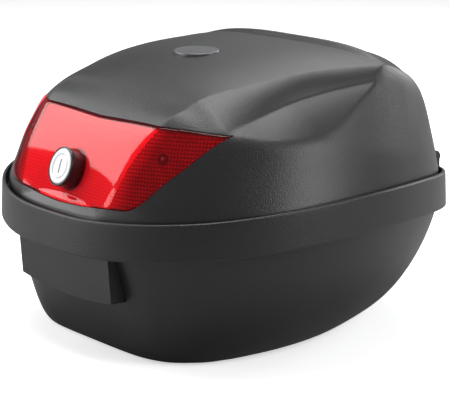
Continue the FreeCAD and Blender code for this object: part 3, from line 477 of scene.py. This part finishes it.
def solid_rings(name, rings, material=None, angle=32.0):
    """body from rings; the first and last ring are closed with a fan"""
    n = len(rings[0])
    verts = [p for ring in rings for p in ring]
    faces = ring_faces(n, len(rings))
    for k in (0, len(rings)-1):
        centre = len(verts)
        verts.append(tuple(sum(p[axis] for p in rings[k])/n for axis in range(3)))
        for i in range(n):
            a, b = k*n+i, k*n+(i+1) % n
            faces.append((b, a, centre) if k == 0 else (a, b, centre))
    return solid(name, verts, faces, material, angle)


def loop_rings(name, rings, material, angle):
    """body from rings, the last joined to the first"""
    verts = [p for ring in rings for p in ring]
    return solid(name, verts, ring_faces(len(rings[0]), len(rings), wrap=True), material, angle)


def sheet_solid(name, front, back, material=None, angle=32.0):
    """closed body between two grids of the same size"""
    columns, rows = len(front), len(front[0])
    verts = [p for column in front+back for p in column]
    under = columns*rows
    faces = []
    for i in range(columns-1):
        for j in range(rows-1):
            a, b = i*rows+j, (i+1)*rows+j
            faces.append((a, b, b+1, a+1))
            faces.append((under+a, under+a+1, under+b+1, under+b))
    for i in range(columns-1):
        a, b = i*rows, (i+1)*rows
        faces.append((a, under+a, under+b, b))
        a, b = a+rows-1, b+rows-1
        faces.append((a, b, under+b, under+a))
    for a in range(rows-1):
        faces.append((a, a+1, under+a+1, under+a))
        b = (columns-1)*rows+a
        faces.append((b, under+b, under+b+1, b+1))
    return solid(name, verts, faces, material, angle)


def box(name, x_range, y_range, z_range, material=None, bevel=0.0):
    verts = [(x, y, z) for z in z_range for y in y_range for x in x_range]
    faces = [(0, 2, 3, 1), (4, 5, 7, 6), (0, 1, 5, 4), (2, 6, 7, 3), (1, 3, 7, 5), (0, 4, 6, 2)]
    obj = new_object(name, verts, faces, material)
    if bevel:
        bm = bmesh.new()
        bm.from_mesh(obj.data)
        bmesh.ops.bevel(bm, geom=bm.edges[:], offset=bevel*MM, segments=4, profile=0.5,
                        affect="EDGES")
        bm.to_mesh(obj.data)
        bm.free()
        finish_mesh(obj, material, 32.0)
    return obj


def join(objects):
    bm = bmesh.new()
    for obj in objects:
        bm.from_mesh(obj.data)
    mesh = bpy.data.meshes.new("joined_tools")
    bm.to_mesh(mesh)
    bm.free()
    for obj in objects:
        bpy.data.objects.remove(obj, do_unlink=True)
    return link_object("joined_tools", mesh)


def boolean(obj, tool, angle=40, operation="DIFFERENCE"):
    """apply the tool to obj and delete the tool"""
    modifier = obj.modifiers.new("b", "BOOLEAN")
    modifier.operation = operation
    modifier.solver = "EXACT"
    modifier.object = tool
    depsgraph = bpy.context.evaluated_depsgraph_get()
    mesh = bpy.data.meshes.new_from_object(obj.evaluated_get(depsgraph))
    obj.modifiers.clear()
    old = obj.data
    material = old.materials[0]
    obj.data = mesh
    mesh.name = old.name+"_c"
    bpy.data.objects.remove(tool, do_unlink=True)
    finish_mesh(obj, material, angle)


def unit(v):
    length = math.sqrt(sum(a*a for a in v))
    return tuple(a/length for a in v)


def cross(a, b):
    return (a[1]*b[2]-a[2]*b[1], a[2]*b[0]-a[0]*b[2], a[0]*b[1]-a[1]*b[0])


# ---------------- lid shell ----------------
AROUND = 480
PLAN = [math.pi/2+2*math.pi*i/AROUND for i in range(AROUND)]


def lid_wall(y):
    """wall thickness, growing towards the rear"""
    return WALL+(REAR_WALL-WALL)*smooth_step((-98.0-y)/18.0)


def side_normal(angle):
    a, b = inset_point(angle, LID_INSET), inset_point(angle, LID_INSET+1)
    return (a[0]-b[0], a[1]-b[1])


def rim_point(angle, thickness):
    """foot of the dome on the plan, moved inwards by the thickness there"""
    x, y = inset_point(angle, LID_INSET)
    nx, ny = side_normal(angle)
    wall = thickness(y)
    return x-nx*wall, y-ny*wall, belt_top(y), wall


def dome_rows(fractions, thickness):
    """rings from the rim (0) towards the centre (1), moved in by thickness(y)"""
    rows = []
    for t in fractions:
        row = []
        for angle in PLAN:
            if t == 0:
                x, y, z, wall = rim_point(angle, thickness)
                row.append((x, y, z+wall*0.2))
                continue
            x, y = (c*(1-t) for c in inset_point(angle, LID_INSET))
            z = max(lid_height(x, y), belt_top(y)+0.5)
            wall = thickness(y)
            if wall:
                nx, ny, nz = lid_normal(x, y, 1.0)
                x, y, z = x-nx*wall, y-ny*wall, z-nz*wall
            row.append((x, y, z))
        rows.append(row)
    return rows


def outer_wall_ring(inset, dz):
    ring = []
    for angle in PLAN:
        x, y = inset_point(angle, inset)
        ring.append((x, y, belt_top(inset_point(angle, LID_INSET)[1])+dz))
    return ring


def inner_wall_ring(dz):
    return [(x, y, z+dz) for x, y, z, _ in (rim_point(angle, lid_wall) for angle in PLAN)]


def lid_shell():
    fractions = []
    t = 0.0
    while t < 0.93:
        fractions.append(t)
        t += (0.0018 if t < 0.008 else 0.006 if t < 0.5 else 0.009)*1
    rings = dome_rows([0.0]+[0.03+0.025*i for i in range(36)], lid_wall)[::-1]
    rings += [inner_wall_ring(-4.0), inner_wall_ring(-LAP+0.5)]
    rings.append([(a[0]*0.8+b[0]*0.2, a[1]*0.8+b[1]*0.2, a[2]*0.5+b[2]*0.5-0.25)
                  for a, b in zip(inner_wall_ring(-LAP), outer_wall_ring(LID_INSET, -LAP))])
    for inset, dz in ((7.3, -LAP), (6.7, -LAP+0.2), (LID_INSET, -LAP+0.7), (LID_INSET, -4.0)):
        rings.append(outer_wall_ring(inset, dz))
    rings += dome_rows(fractions, lambda y: 0.0)
    return solid_rings("lid_body", rings, LID_GRAIN, 40)


lid = lid_shell()

# ---------------- reflector outline, as (x, z) on one half ----------------
REFLECTOR_X, REFLECTOR_TIP_Z = 142.5, 200.4
REFLECTOR_LOW = curve([
    (0, 131.8), (40, 133.2), (72, 136.2), (86, 136.8), (92, 137.6), (97, 140.0), (103, 145.0),
    (109, 153.5), (117, 164.5), (125, 174), (130.5, 183), (136.5, 192),
    (REFLECTOR_X, REFLECTOR_TIP_Z)])
REFLECTOR_HIGH = curve([
    (0, 202.0), (88, 204.0), (105, 203.6), (115.5, 203.0), (130, 201.6),
    (REFLECTOR_X, REFLECTOR_TIP_Z)])
surface_points = {}


def rear_surface(x, z):
    """y and normal of the lid's rear side at x and height z"""
    key = (round(x, 3), round(z, 3))
    if key not in surface_points:
        low, high = -205.0, -100.0
        for _ in range(24):
            y = (low+high)/2
            if inset_at(x, y) > LID_INSET and lid_height(x, y) > z:
                high = y
            else:
                low = y
        surface_points[key] = (high, lid_normal(x, high+0.2, 0.8))
    return surface_points[key]


def lens_sheet(columns, rows, offset, grow=0.0):
    """grid over the reflector outline, widened by grow; offset(x, z, d) is the distance out
    of the lid surface, d the distance from the outline"""
    grid = []
    half = REFLECTOR_X+grow*1.4
    for i in range(columns+1):
        u = -1+2*i/columns
        x = half*math.sin(u*math.pi/2)*0.35+half*u*0.65
        side = min(abs(x), REFLECTOR_X-0.01)
        low, high = REFLECTOR_LOW(side)-grow, REFLECTOR_HIGH(side)+grow
        if abs(x) > REFLECTOR_X:
            low, high = REFLECTOR_TIP_Z-grow*0.3, REFLECTOR_TIP_Z+grow*0.3
        slope = (REFLECTOR_LOW(min(side+0.5, REFLECTOR_X))-REFLECTOR_LOW(side))/0.5
        column = []
        for j in range(rows+1):
            t = 0.45*(0.5-0.5*math.cos(math.pi*(j/rows)))+0.55*(j/rows)
            z = low+(high-low)*t
            d = min((z-low)/math.sqrt(1+slope*slope), high-z, (half-abs(x))*0.9)
            y, n = rear_surface(x, z)
            out = offset(x, z, max(d, 0.0))
            column.append((x+n[0]*out, y+n[1]*out, z+n[2]*out))
        grid.append(column)
    return grid


def level(height):
    return lambda x, z, d: height


boolean(lid, sheet_solid("reflector_seat", lens_sheet(110, 24, level(9.0), 0.45),
                         lens_sheet(110, 24, level(-3.4), 0.45)))

# ---------------- lock bore ----------------
LOCK_Y, LOCK_Z = -186.0, 158.8
LOCK_TILT = math.radians(20)   # the axis points to the rear and up


def lock_bore(radius, start, end, n=96):
    """cylinder on the lock axis, from start to end along it"""
    c, s = math.cos(LOCK_TILT), math.sin(LOCK_TILT)
    rings = []
    for along in (start, end):
        ring = []
        for i in range(n):
            a = 2*math.pi*i/n
            down = radius*math.cos(a)
            ring.append((radius*math.sin(a), LOCK_Y-c*along-s*down, LOCK_Z+s*along-c*down))
        rings.append(ring)
    return solid_rings("lock_bore", rings)


boolean(lid, lock_bore(14.65, -30, 12))

# ---------------- badge: oval disc in a shallow seat on top ----------------
BADGE_HALF_X, BADGE_HALF_Y = 24.0, 18.8
BADGE_Y, BADGE_Z = -50.0, 251.3
BADGE_SLOPE = 0.07
# (inset from the oval, height above the disc's top plane)
SEAT_PROFILE = [(-0.6, -14.0), (-0.6, -4.2), (0.2, -2.9), (1.5, -2.6), (6, -2.6)]
POCKET_PROFILE = [(-0.3, -9.6), (-0.3, 20.0)]
BADGE_PROFILE = [
    (16, -9.5), (8, -9.5), (0.0, -9.5), (0.0, -1.2), (0.08, -0.75), (0.3, -0.4), (0.7, -0.15),
    (1.2, -0.03), (2.0, 0.0), (2.4, -0.05), (2.8, -0.22), (3.3, -0.22), (3.8, -0.1),
    (6.0, 0.0), (10.0, 0.12), (14.0, 0.2), (18.0, 0.24), (20.0, 0.25)]


def oval_rings(profile, n=200):
    normal = unit((0.0, -BADGE_SLOPE, 1.0))
    along = unit((0.0, 1.0, BADGE_SLOPE))
    rings = []
    for inset, h in profile:
        ring = []
        for i in range(n):
            a = 2*math.pi*i/n
            q = (BADGE_HALF_Y-inset)*math.sin(a)
            ring.append(((BADGE_HALF_X-inset)*math.cos(a),
                         BADGE_Y+along[1]*q+normal[1]*h, BADGE_Z+along[2]*q+normal[2]*h))
        rings.append(ring)
    return rings


boolean(lid, solid_rings("badge_seat", oval_rings(SEAT_PROFILE)), operation="UNION")
boolean(lid, solid_rings("badge_pocket", oval_rings(POCKET_PROFILE)))
badge = solid_rings("badge", oval_rings(BADGE_PROFILE), BADGE, 50)
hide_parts("top_badge")
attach(badge, "lid")

# block inside the lid, low at the rear
boss = box("latch_boss", (-24, 24), (-195.5, -188.05), (118.9, 131.0), LID_GRAIN, 0.8)
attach(boss, "lid")
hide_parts("lid_shell")
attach(lid, "lid")

# ---------------- reflector lens and insert ----------------
LENS_EDGE = 1.6       # radius of the lens's rounded edge
INSERT_FACE, INSERT_BACK = -2.75, -3.25
PRISM_HEIGHT = 0.65
DOT_PITCH = 2.6       # square grid between the creases
CELL_X, CELL_Z = 2.5, 3.0   # staggered cells on the wings


def lens_skin(x, z, d):
    k = min(d/LENS_EDGE, 1.0)
    return -0.6+LENS_EDGE*math.sqrt(max(1-(1-k)**2, 0.0))


def crease_x(z):
    """x of the line between the middle field and the wing"""
    return 73.0+(z-139.5)*(88.0-73.0)/(204.0-139.5)


def in_plain_zone(x, z):
    """zone round the lock, round with a point below"""
    dz = z-157.6
    return math.hypot(x, dz) < 20.3 or (dz < -14 and abs(x) < (dz+26.8)*1.02)


def prism(x, z):
    """relative prism height and tone, both 0 to 1; the tone holds the prism pattern and, on the
    wings, painted reflection
    """
    out = abs(x)-crease_x(z)
    if in_plain_zone(x, z):
        return 0.0, 0.52
    if out < -2.0:
        u = abs(((x/DOT_PITCH) % 1.0)-0.5)*2
        v = abs(((z/DOT_PITCH) % 1.0)-0.5)*2
        dot = max(0.0, 1-math.hypot(1-u, 1-v)*1.3)
        return 0.5-0.5*dot, 0.86-0.40*dot
    up = z-140.0
    u = (out+0.18*up)/CELL_X+0.5*(math.floor(up/CELL_Z) % 2)
    v = up/CELL_Z
    du, dv = ((u % 1.0)-0.5)/0.36, ((v % 1.0)-0.5)/0.44
    cell = max(0.0, 1-(du*du+dv*dv))
    # painted reflection: the cells are brightest along the crease and low down, and a little
    # brighter again towards the tip, where the prisms catch the light
    near = max(0.0, 1-out/(15.0-0.10*up if up < 60 else 9.0))
    low = max(0.0, 1-max(up, 0)/60.0)
    tip = clamp((out-30.0)/30.0)
    ground = 0.02+0.34*near*(0.4+0.6*low)
    peak = 0.26+0.70*max(near, 0.35*low)+0.25*tip
    return 0.8*cell, ground+(min(peak, 1.0)-ground)*cell


def insert_face(x, z, d):
    return INSERT_FACE+PRISM_HEIGHT*prism(x, z)[0] if d > 1.0 else INSERT_FACE


grid = ((220, 48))
lens = sheet_solid("lens_skin", lens_sheet(*grid, lens_skin), lens_sheet(*grid, level(-1.8)),
                   LENS, 50)
boolean(lens, lock_bore(18.4, -14, 16, 160), 50)
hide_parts("reflector_lens")
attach(lens, "lid")

grid = ((440, 110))
insert = sheet_solid("insert", lens_sheet(*grid, insert_face, -1.0),
                     lens_sheet(*grid, level(INSERT_BACK), -1.0), INSERT, 60)
boolean(insert, lock_bore(18.8, -14, 16, 160), 60)
# tone per point: the prism pattern plus painted reflection on the wings
tones = insert.data.attributes.new("tone", "FLOAT", "POINT")
for i, vertex in enumerate(insert.data.vertices):
    tones.data[i].value = prism(vertex.co.x/MM, vertex.co.z/MM)[1]
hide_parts("reflector_insert")
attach(insert, "lid")

# screw bosses behind the wings, as (radius, height out of the lid surface)
BOSS_PROFILE = [
    (1.55, -3.3), (4.6, -3.3), (5.0, -3.1), (5.0, -2.1), (4.7, -1.85), (4.0, -1.85),
    (3.7, -2.1), (3.6, -2.6), (2.0, -2.7), (1.55, -2.9)]
BOSS_X, BOSS_Y = 104.0, -160.5


def turned_rings(profile, centre, axis, n=64):
    across = unit(cross(axis, (0, 0, 1)))
    other = cross(axis, across)
    rings = []
    for radius, along in profile:
        ring = []
        for i in range(n):
            c, s = math.cos(2*math.pi*i/n), math.sin(2*math.pi*i/n)
            ring.append(tuple(centre[k]+axis[k]*along+radius*(across[k]*c+other[k]*s)
                              for k in range(3)))
        rings.append(ring)
    return rings


boss_normal = lid_normal(BOSS_X, BOSS_Y, 2.0)
BOSS_RED = surface("boss_red", (0.045, 0.006, 0.008), rough=0.25, grain=500, bump=0.05)
for side, suffix in ((1, "r"), (-1, "l")):
    centre = (side*BOSS_X, BOSS_Y, lid_height(BOSS_X, BOSS_Y))
    axis = (side*boss_normal[0], boss_normal[1], boss_normal[2])
    lens_boss = loop_rings("lens_boss_"+suffix, turned_rings(BOSS_PROFILE, centre, axis),
                           BOSS_RED, 40)
    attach(lens_boss, "lid")

# ---------------- tub ----------------
FLOOR_FRACTIONS = (0.06, 0.3, 0.55, 0.75, 0.9)
BELT_ROUND = 1.9      # radius of the belt's upper outer edge
FLOOR_GAP = WALL+0.2  # from the underside to the inner floor
PLINTH_X, PLINTH_Y = 68, 79   # half sizes of the raised part of the floor
PLINTH_CENTRE_Y = -25.0
PLINTH_TOP = 14.2
HOLE_X, HOLE_Y = 45, 55       # plinth holes, from its centre
SLOT_Y = -73.0
FEET = [(76, -128), (-76, -128), (46, 74), (-46, 74)]


def rim_at(angle, inset, z):
    return inset_point(angle, inset)+(z,)


def belt_inset(z):
    return -3.3+(z-55.0)*4.2/110.0


def base_section(angle):
    """closed run of points: under the floor, up the wall, round the belt, down inside"""
    y = outline_radius(angle)*math.sin(angle)
    bottom, top = belt_bottom(y), belt_top(y)
    at = partial(rim_at, angle)
    x, y, _ = tub_point(angle, FLOOR_Z)
    points = [(x*k, y*k, FLOOR_Z) for k in FLOOR_FRACTIONS]
    ledge = top-SEAL_DEPTH-WALL
    points += [tub_point(angle, FLOOR_Z+(ledge-FLOOR_Z)*((i/40.0)**1.5)) for i in range(41)]
    # under the ledge and down behind the belt
    belt_back = belt_inset(ledge)+WALL
    wall_inset = inset_at(*points[-1][:2])
    points += [at(wall_inset*0.5+belt_back*0.5, ledge), at(belt_back, ledge)]
    points += [at(belt_inset(z)+WALL, z) for z in (ledge-3, bottom+4)]
    # lower edge, face and upper edge of the belt
    low, high = belt_inset(bottom), belt_inset(top)
    points += [at(low+d, bottom+dz) for d, dz in
               ((2.6, 0.35), (2.0, 0), (1.0, 0), (0.35, 0.25), (0.05, 0.8))]
    points.append(at(belt_inset(bottom+2), bottom+2.0))
    for k in (0.2, 0.4, 0.6, 0.8):
        z = bottom+(top-bottom)*k
        points.append(at(belt_inset(z), z))
    for i in range(7):
        a = math.pi/2*i/6
        points.append(at(high+BELT_ROUND-BELT_ROUND*math.cos(a),
                         top-BELT_ROUND+BELT_ROUND*math.sin(a)))
    points += [at(high+2.9, top), at(high+3.2, top-0.3), at(belt_inset(top-2)+3.25, top-2.0)]
    # seal channel
    channel = top-SEAL_DEPTH
    points += [at(belt_inset(z)+3.1, z) for z in (top-7, channel+0.5)]
    points.append(at(belt_inset(channel)+3.4, channel))
    x, y, _ = tub_point(angle, channel-FLOOR_GAP, WALL)
    points.append(at(inset_at(x, y)-0.6, channel))
    # inner wall and floor
    floor = FLOOR_Z+FLOOR_GAP
    heights = [floor+(channel-floor)*((i/30.0)**1.5) for i in range(29, -1, -1)]
    for z in [channel-0.4]+heights:
        points.append(tub_point(angle, z-FLOOR_GAP, WALL)[:2]+(z,))
    x, y, _ = tub_point(angle, FLOOR_Z, WALL)
    points += [(x*k, y*k, floor) for k in reversed(FLOOR_FRACTIONS)]
    return points


def cylinder(x, y, radius, z_range, n=48):
    return solid_rings("cylinder", [
        [(x+radius*math.cos(2*math.pi*i/n), y+radius*math.sin(2*math.pi*i/n), z)
         for i in range(n)] for z in z_range])


def plinth_box(name, shrink, z_range, bevel=0.0):
    x, y = PLINTH_X-shrink, PLINTH_Y-shrink
    return box(name, (-x, x), (PLINTH_CENTRE_Y-y, PLINTH_CENTRE_Y+y), z_range, bevel=bevel)


base = solid_rings("base_body", list(zip(*[base_section(angle) for angle in PLAN])),
                   BASE_GRAIN, 40)
boolean(base, plinth_box("plinth", 0, (2.5, PLINTH_TOP), 1.2), operation="UNION")
boolean(base, plinth_box("plinth_hollow", WALL, (-6, PLINTH_TOP-WALL)))
tools = [cylinder(s*HOLE_X, PLINTH_CENTRE_Y+u*HOLE_Y, 3.3, (0, 30))
         for s in (1, -1) for u in (1, -1)]
tools += [cylinder(x, y, 8.05, (-3, 2.4)) for x, y in FEET]
tools.append(box("slot", (-9.2, 9.2), (SLOT_Y-14, SLOT_Y+2), (4, 20)))
boolean(base, join(tools))
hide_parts("base_shell")
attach(base, "base")

# block set through the flat rear wall
pad_front = -(REAR_Y+REAR_LEAN*85)+WALL+0.4-0.05
pad = box("striker_pad", (-24, 24), (-187.0, pad_front), (89, 104), BASE_GRAIN, 0.7)
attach(pad, "base")

# ---------------- floor mat: ribbed, soft edged, with cut-outs ----------------
MAT_X, MAT_Y = 66, 72         # half sizes
MAT_Z = PLINTH_TOP+0.1
MAT_EDGE = 2.5                # width of the rounded edge
MAT_TRIM = 0.5                # margin to which ragged points are pulled


def rectangle_margin(x, y, half_x, half_y, radius):
    """distance inwards from a rounded rectangle round the origin"""
    qx, qy = abs(x)-half_x+radius, abs(y)-half_y+radius
    return -(math.hypot(max(qx, 0), max(qy, 0))+min(max(qx, qy), 0)-radius)


def mat_margin(x, y):
    """distance inwards from the nearest edge of the mat"""
    d = rectangle_margin(x, y-PLINTH_CENTRE_Y, MAT_X, MAT_Y, 8)
    d = min(d, -rectangle_margin(x, y-(SLOT_Y+10), 31, 27, 3))
    for s in (1, -1):
        d = min(d, -rectangle_margin(x-s*38, y-35, 6, 11, 2))
        for u in (1, -1):
            d = min(d, math.hypot(x-s*HOLE_X, y-PLINTH_CENTRE_Y-u*HOLE_Y)-5.5)
    return d


def floor_mat():
    pitch = 1.6
    nx, ny = int(2*MAT_X/pitch), int(2*MAT_Y/pitch)

    def place(i, j):
        return -MAT_X+i*(2*MAT_X)/nx, PLINTH_CENTRE_Y-MAT_Y+j*(2*MAT_Y)/ny

    cells = [(i, j) for i in range(nx) for j in range(ny)
             if mat_margin(*place(i+0.5, j+0.5)) > 0.2]
    filled = set(cells)
    index, verts, faces = {}, [], []

    def vertex(i, j, top):
        key = (i, j, top)
        if key not in index:
            x, y = place(i, j)
            d = mat_margin(x, y)
            if d < MAT_TRIM:
                e = 0.3
                gx = (mat_margin(x+e, y)-mat_margin(x-e, y))/(2*e)
                gy = (mat_margin(x, y+e)-mat_margin(x, y-e))/(2*e)
                g = math.hypot(gx, gy)
                if g > 0.3:
                    x += gx/g*(MAT_TRIM-d)*0.9
                    y += gy/g*(MAT_TRIM-d)*0.9
            z = MAT_Z
            if top:
                k = min(max(mat_margin(x, y), 0.0)/MAT_EDGE, 1.0)
                rib = 0.35*abs(math.sin(x*math.pi/5.0))
                z += 0.7+math.sqrt(max(1-(1-k)**2, 0))+rib*k
            index[key] = len(verts)
            verts.append((x, y, z))
        return index[key]

    # neighbour, then start and end of the edge shared with it
    sides = [(-1, 0, (0, 1), (0, 0)), (1, 0, (1, 0), (1, 1)),
             (0, -1, (0, 0), (1, 0)), (0, 1, (1, 1), (0, 1))]
    for i, j in cells:
        faces.append((vertex(i, j, 1), vertex(i+1, j, 1), vertex(i+1, j+1, 1),
                      vertex(i, j+1, 1)))
        faces.append((vertex(i, j, 0), vertex(i, j+1, 0), vertex(i+1, j+1, 0),
                      vertex(i+1, j, 0)))
        for di, dj, start, end in sides:
            if (i+di, j+dj) not in filled:
                p = (i+start[0], j+start[1])
                q = (i+end[0], j+end[1])
                faces.append((vertex(*p, 1), vertex(*q, 1), vertex(*q, 0), vertex(*p, 0)))
    return solid("mat_soft", verts, faces, MAT, 50)


mat = floor_mat()
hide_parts("floor_mat")
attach(mat, "base")


# ---------------- rim seal: soft bulb in the channel ----------------
def seal_section(angle):
    top = belt_top(outline_radius(angle)*math.sin(angle))
    z0, z1 = top-SEAL_DEPTH+0.05, top-LAP-0.45
    profile = [
        (4.7, z0), (4.6, z0+0.8), (4.75, z0+2.6), (5.6, z1-0.9), (6.5, z1-0.2), (7.4, z1),
        (8.3, z1-0.2), (9.3, z1-0.9), (10.1, z0+2.6), (10.2, z0+0.8), (10.1, z0)]
    return [rim_at(angle, inset, z) for inset, z in profile]


seal = loop_rings("seal_bulb", [seal_section(angle) for angle in PLAN], SEAL, 50)
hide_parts("rim_seal")
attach(seal, "base")

# ---------------- pieces kept from the CAD ----------------
CAD_MATERIALS = {
    "rubber_feet": FOOT, "rear_grip": GRIP, "grip_screws": SCREW, "striker_plate": STEEL,
    "striker_screws": SCREW, "carrier_hooks": STEEL, "carrier_hook_screws": SCREW,
    "release_housing": INNER, "release_housing_screws": SCREW, "release_button": RED,
    "release_bolt": STEEL, "release_spring": SPRING, "lens_screws": SCREW,
    "hinge_leaf_base": HINGE, "hinge_leaf_lid": HINGE, "hinge_screws_lid": HINGE,
    "hinge_pins": PIN, "hinge_screws_base": HINGE, "lock_collar": COLLAR,
    "lock_washer": STEEL, "lock_nut": STEEL, "lock_button": SILVER, "lock_plug": CORE,
    "lock_cam": STEEL, "lock_cam_nut": STEEL, "lock_pusher": INNER, "latch_bracket": STEEL,
    "latch_bracket_screws": SCREW, "latch_pivot_pin": STEEL, "latch_hook": STEEL}
CAD_BEVELS = {
    "rear_grip": 1.2, "striker_plate": 0.35, "carrier_hooks": 0.4, "hinge_leaf_base": 0.9,
    "hinge_leaf_lid": 0.9, "lock_nut": 0.4, "latch_bracket": 0.35, "latch_hook": 0.4,
    "lock_pusher": 0.4, "release_bolt": 0.3, "lock_cam": 0.3, "lock_plug": 0.25,
    "lock_collar": 0.3}
for name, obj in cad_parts.items():
    if name not in CAD_MATERIALS:
        continue
    obj.data.materials.clear()
    obj.data.materials.append(CAD_MATERIALS[name])
    if name in CAD_BEVELS:
        bevel = obj.modifiers.new("bevel", "BEVEL")
        bevel.width = CAD_BEVELS[name]*MM
        bevel.segments = 3
        bevel.limit_method = "ANGLE"
        bevel.angle_limit = math.radians(40)


# ---------------- floor and world ----------------
def floor_material():
    """near white and glowing to the camera, mid grey to all other rays"""
    material = surface("floor", (0.88, 0.88, 0.89), rough=0.8, grain=40, bump=0.0, var=0.01,
                       spec=0.2)
    add = partial(add_node, material.node_tree)
    shader = next(n for n in material.node_tree.nodes if n.type == "BSDF_PRINCIPLED")
    camera_ray = add("LightPath").outputs["Is Camera Ray"]
    plain = shader.inputs["Base Color"].links[0].from_socket
    color = add("MixRGB", {"Fac": camera_ray, "Color1": (0.46, 0.46, 0.47, 1),
                           "Color2": plain})
    set_inputs(shader, {"Base Color": color.outputs["Color"],
                        "Emission Color": (1, 1, 1, 1),
                        "Emission Strength": multiply(add, camera_ray, 0.55)})
    return material


FLOOR_HALF, FLOOR_LEVEL = 12.0, -0.0004   # metres
floor_finish = floor_material()
floor_mesh = bpy.data.meshes.new("floor")
floor_mesh.from_pydata([(x*FLOOR_HALF, y*FLOOR_HALF, FLOOR_LEVEL)
                        for x, y in ((-1, -1), (1, -1), (1, 1), (-1, 1))], [], [(0, 1, 2, 3)])
floor_mesh.update()
floor_mesh.shade_smooth()
floor = link_object("floor", floor_mesh)
floor_mesh.materials.append(floor_finish)

world = bpy.data.worlds.new("world")
bpy.context.scene.world = world
world.use_nodes = True
world.node_tree.nodes.clear()
add = partial(add_node, world.node_tree)
# 0.45 would hold without the link; linked, it is 1 to the camera and 0.24 to other rays
background = add("Background", {"Color": (0.97, 0.975, 1.0, 1), "Strength": 0.45})
strength = add("MapRange", {"Value": add("LightPath").outputs["Is Camera Ray"],
                            "To Min": 0.24, "To Max": 1.0})
set_inputs(background, {"Strength": strength.outputs["Result"]})
add("OutputWorld", {"Surface": background.outputs[0]})


# ---------------- lights: metres and watts ----------------
def area(name, location, target, size, power):
    light = bpy.data.lights.new(name, "AREA")
    light.shape = "RECTANGLE"
    light.size, light.size_y = size
    light.energy = power
    obj = link_object(name, light)
    obj.location = location
    aim = Vector(target)-Vector(location)
    obj.rotation_euler = aim.to_track_quat("-Z", "Y").to_euler()


area("top", location=(-0.3, 0.0, 1.8), target=(0, 0, 0.15), size=(1.2, 1.2), power=30)
area("panel", location=(-1.75, -0.78, 1.18), target=(0, -0.17, 0.17), size=(1.1, 0.9), power=20)
area("left", location=(-1.5, -1.9, 0.45), target=(0, -0.1, 0.1), size=(0.9, 0.7), power=13)
area("right", location=(1.7, 0.8, 1.0), target=(0.05, 0.0, 0.2), size=(0.8, 1.1), power=25)
area("back", location=(-0.85, 1.25, 1.5), target=(0.0, 0.0, 0.22), size=(0.9, 0.9), power=8)
area("end", location=(-0.25, 2.2, 0.75), target=(0.05, 0.05, 0.2), size=(0.8, 0.6), power=13)

# ---------------- camera ----------------
AZIMUTH, ELEVATION = math.radians(53.5), math.radians(12.0)
DISTANCE = 1880.0
SHIFT_RIGHT, SHIFT_UP = -14.7, 141.3   # across the view
DROP = 37.0                            # straight down
right = Vector((math.cos(AZIMUTH), math.sin(AZIMUTH), 0))
back = Vector((math.sin(AZIMUTH)*math.cos(ELEVATION), -math.cos(AZIMUTH)*math.cos(ELEVATION),
               math.sin(ELEVATION)))
up = back.cross(right)
eye = right*SHIFT_RIGHT+up*SHIFT_UP+back*DISTANCE-Vector((0, 0, DROP))
camera_data = bpy.data.cameras.new("cam")
camera_data.lens = 160.176
camera_data.sensor_width = 36.0
camera_data.sensor_fit = "HORIZONTAL"
camera_data.clip_end = 50
camera = link_object("cam", camera_data)
camera.matrix_world = Matrix([(right[k], up[k], back[k], eye[k]*MM) for k in range(3)]
                             + [(0, 0, 0, 1)])
bpy.context.scene.camera = camera
bpy.context.scene.view_settings.view_transform = "Standard"
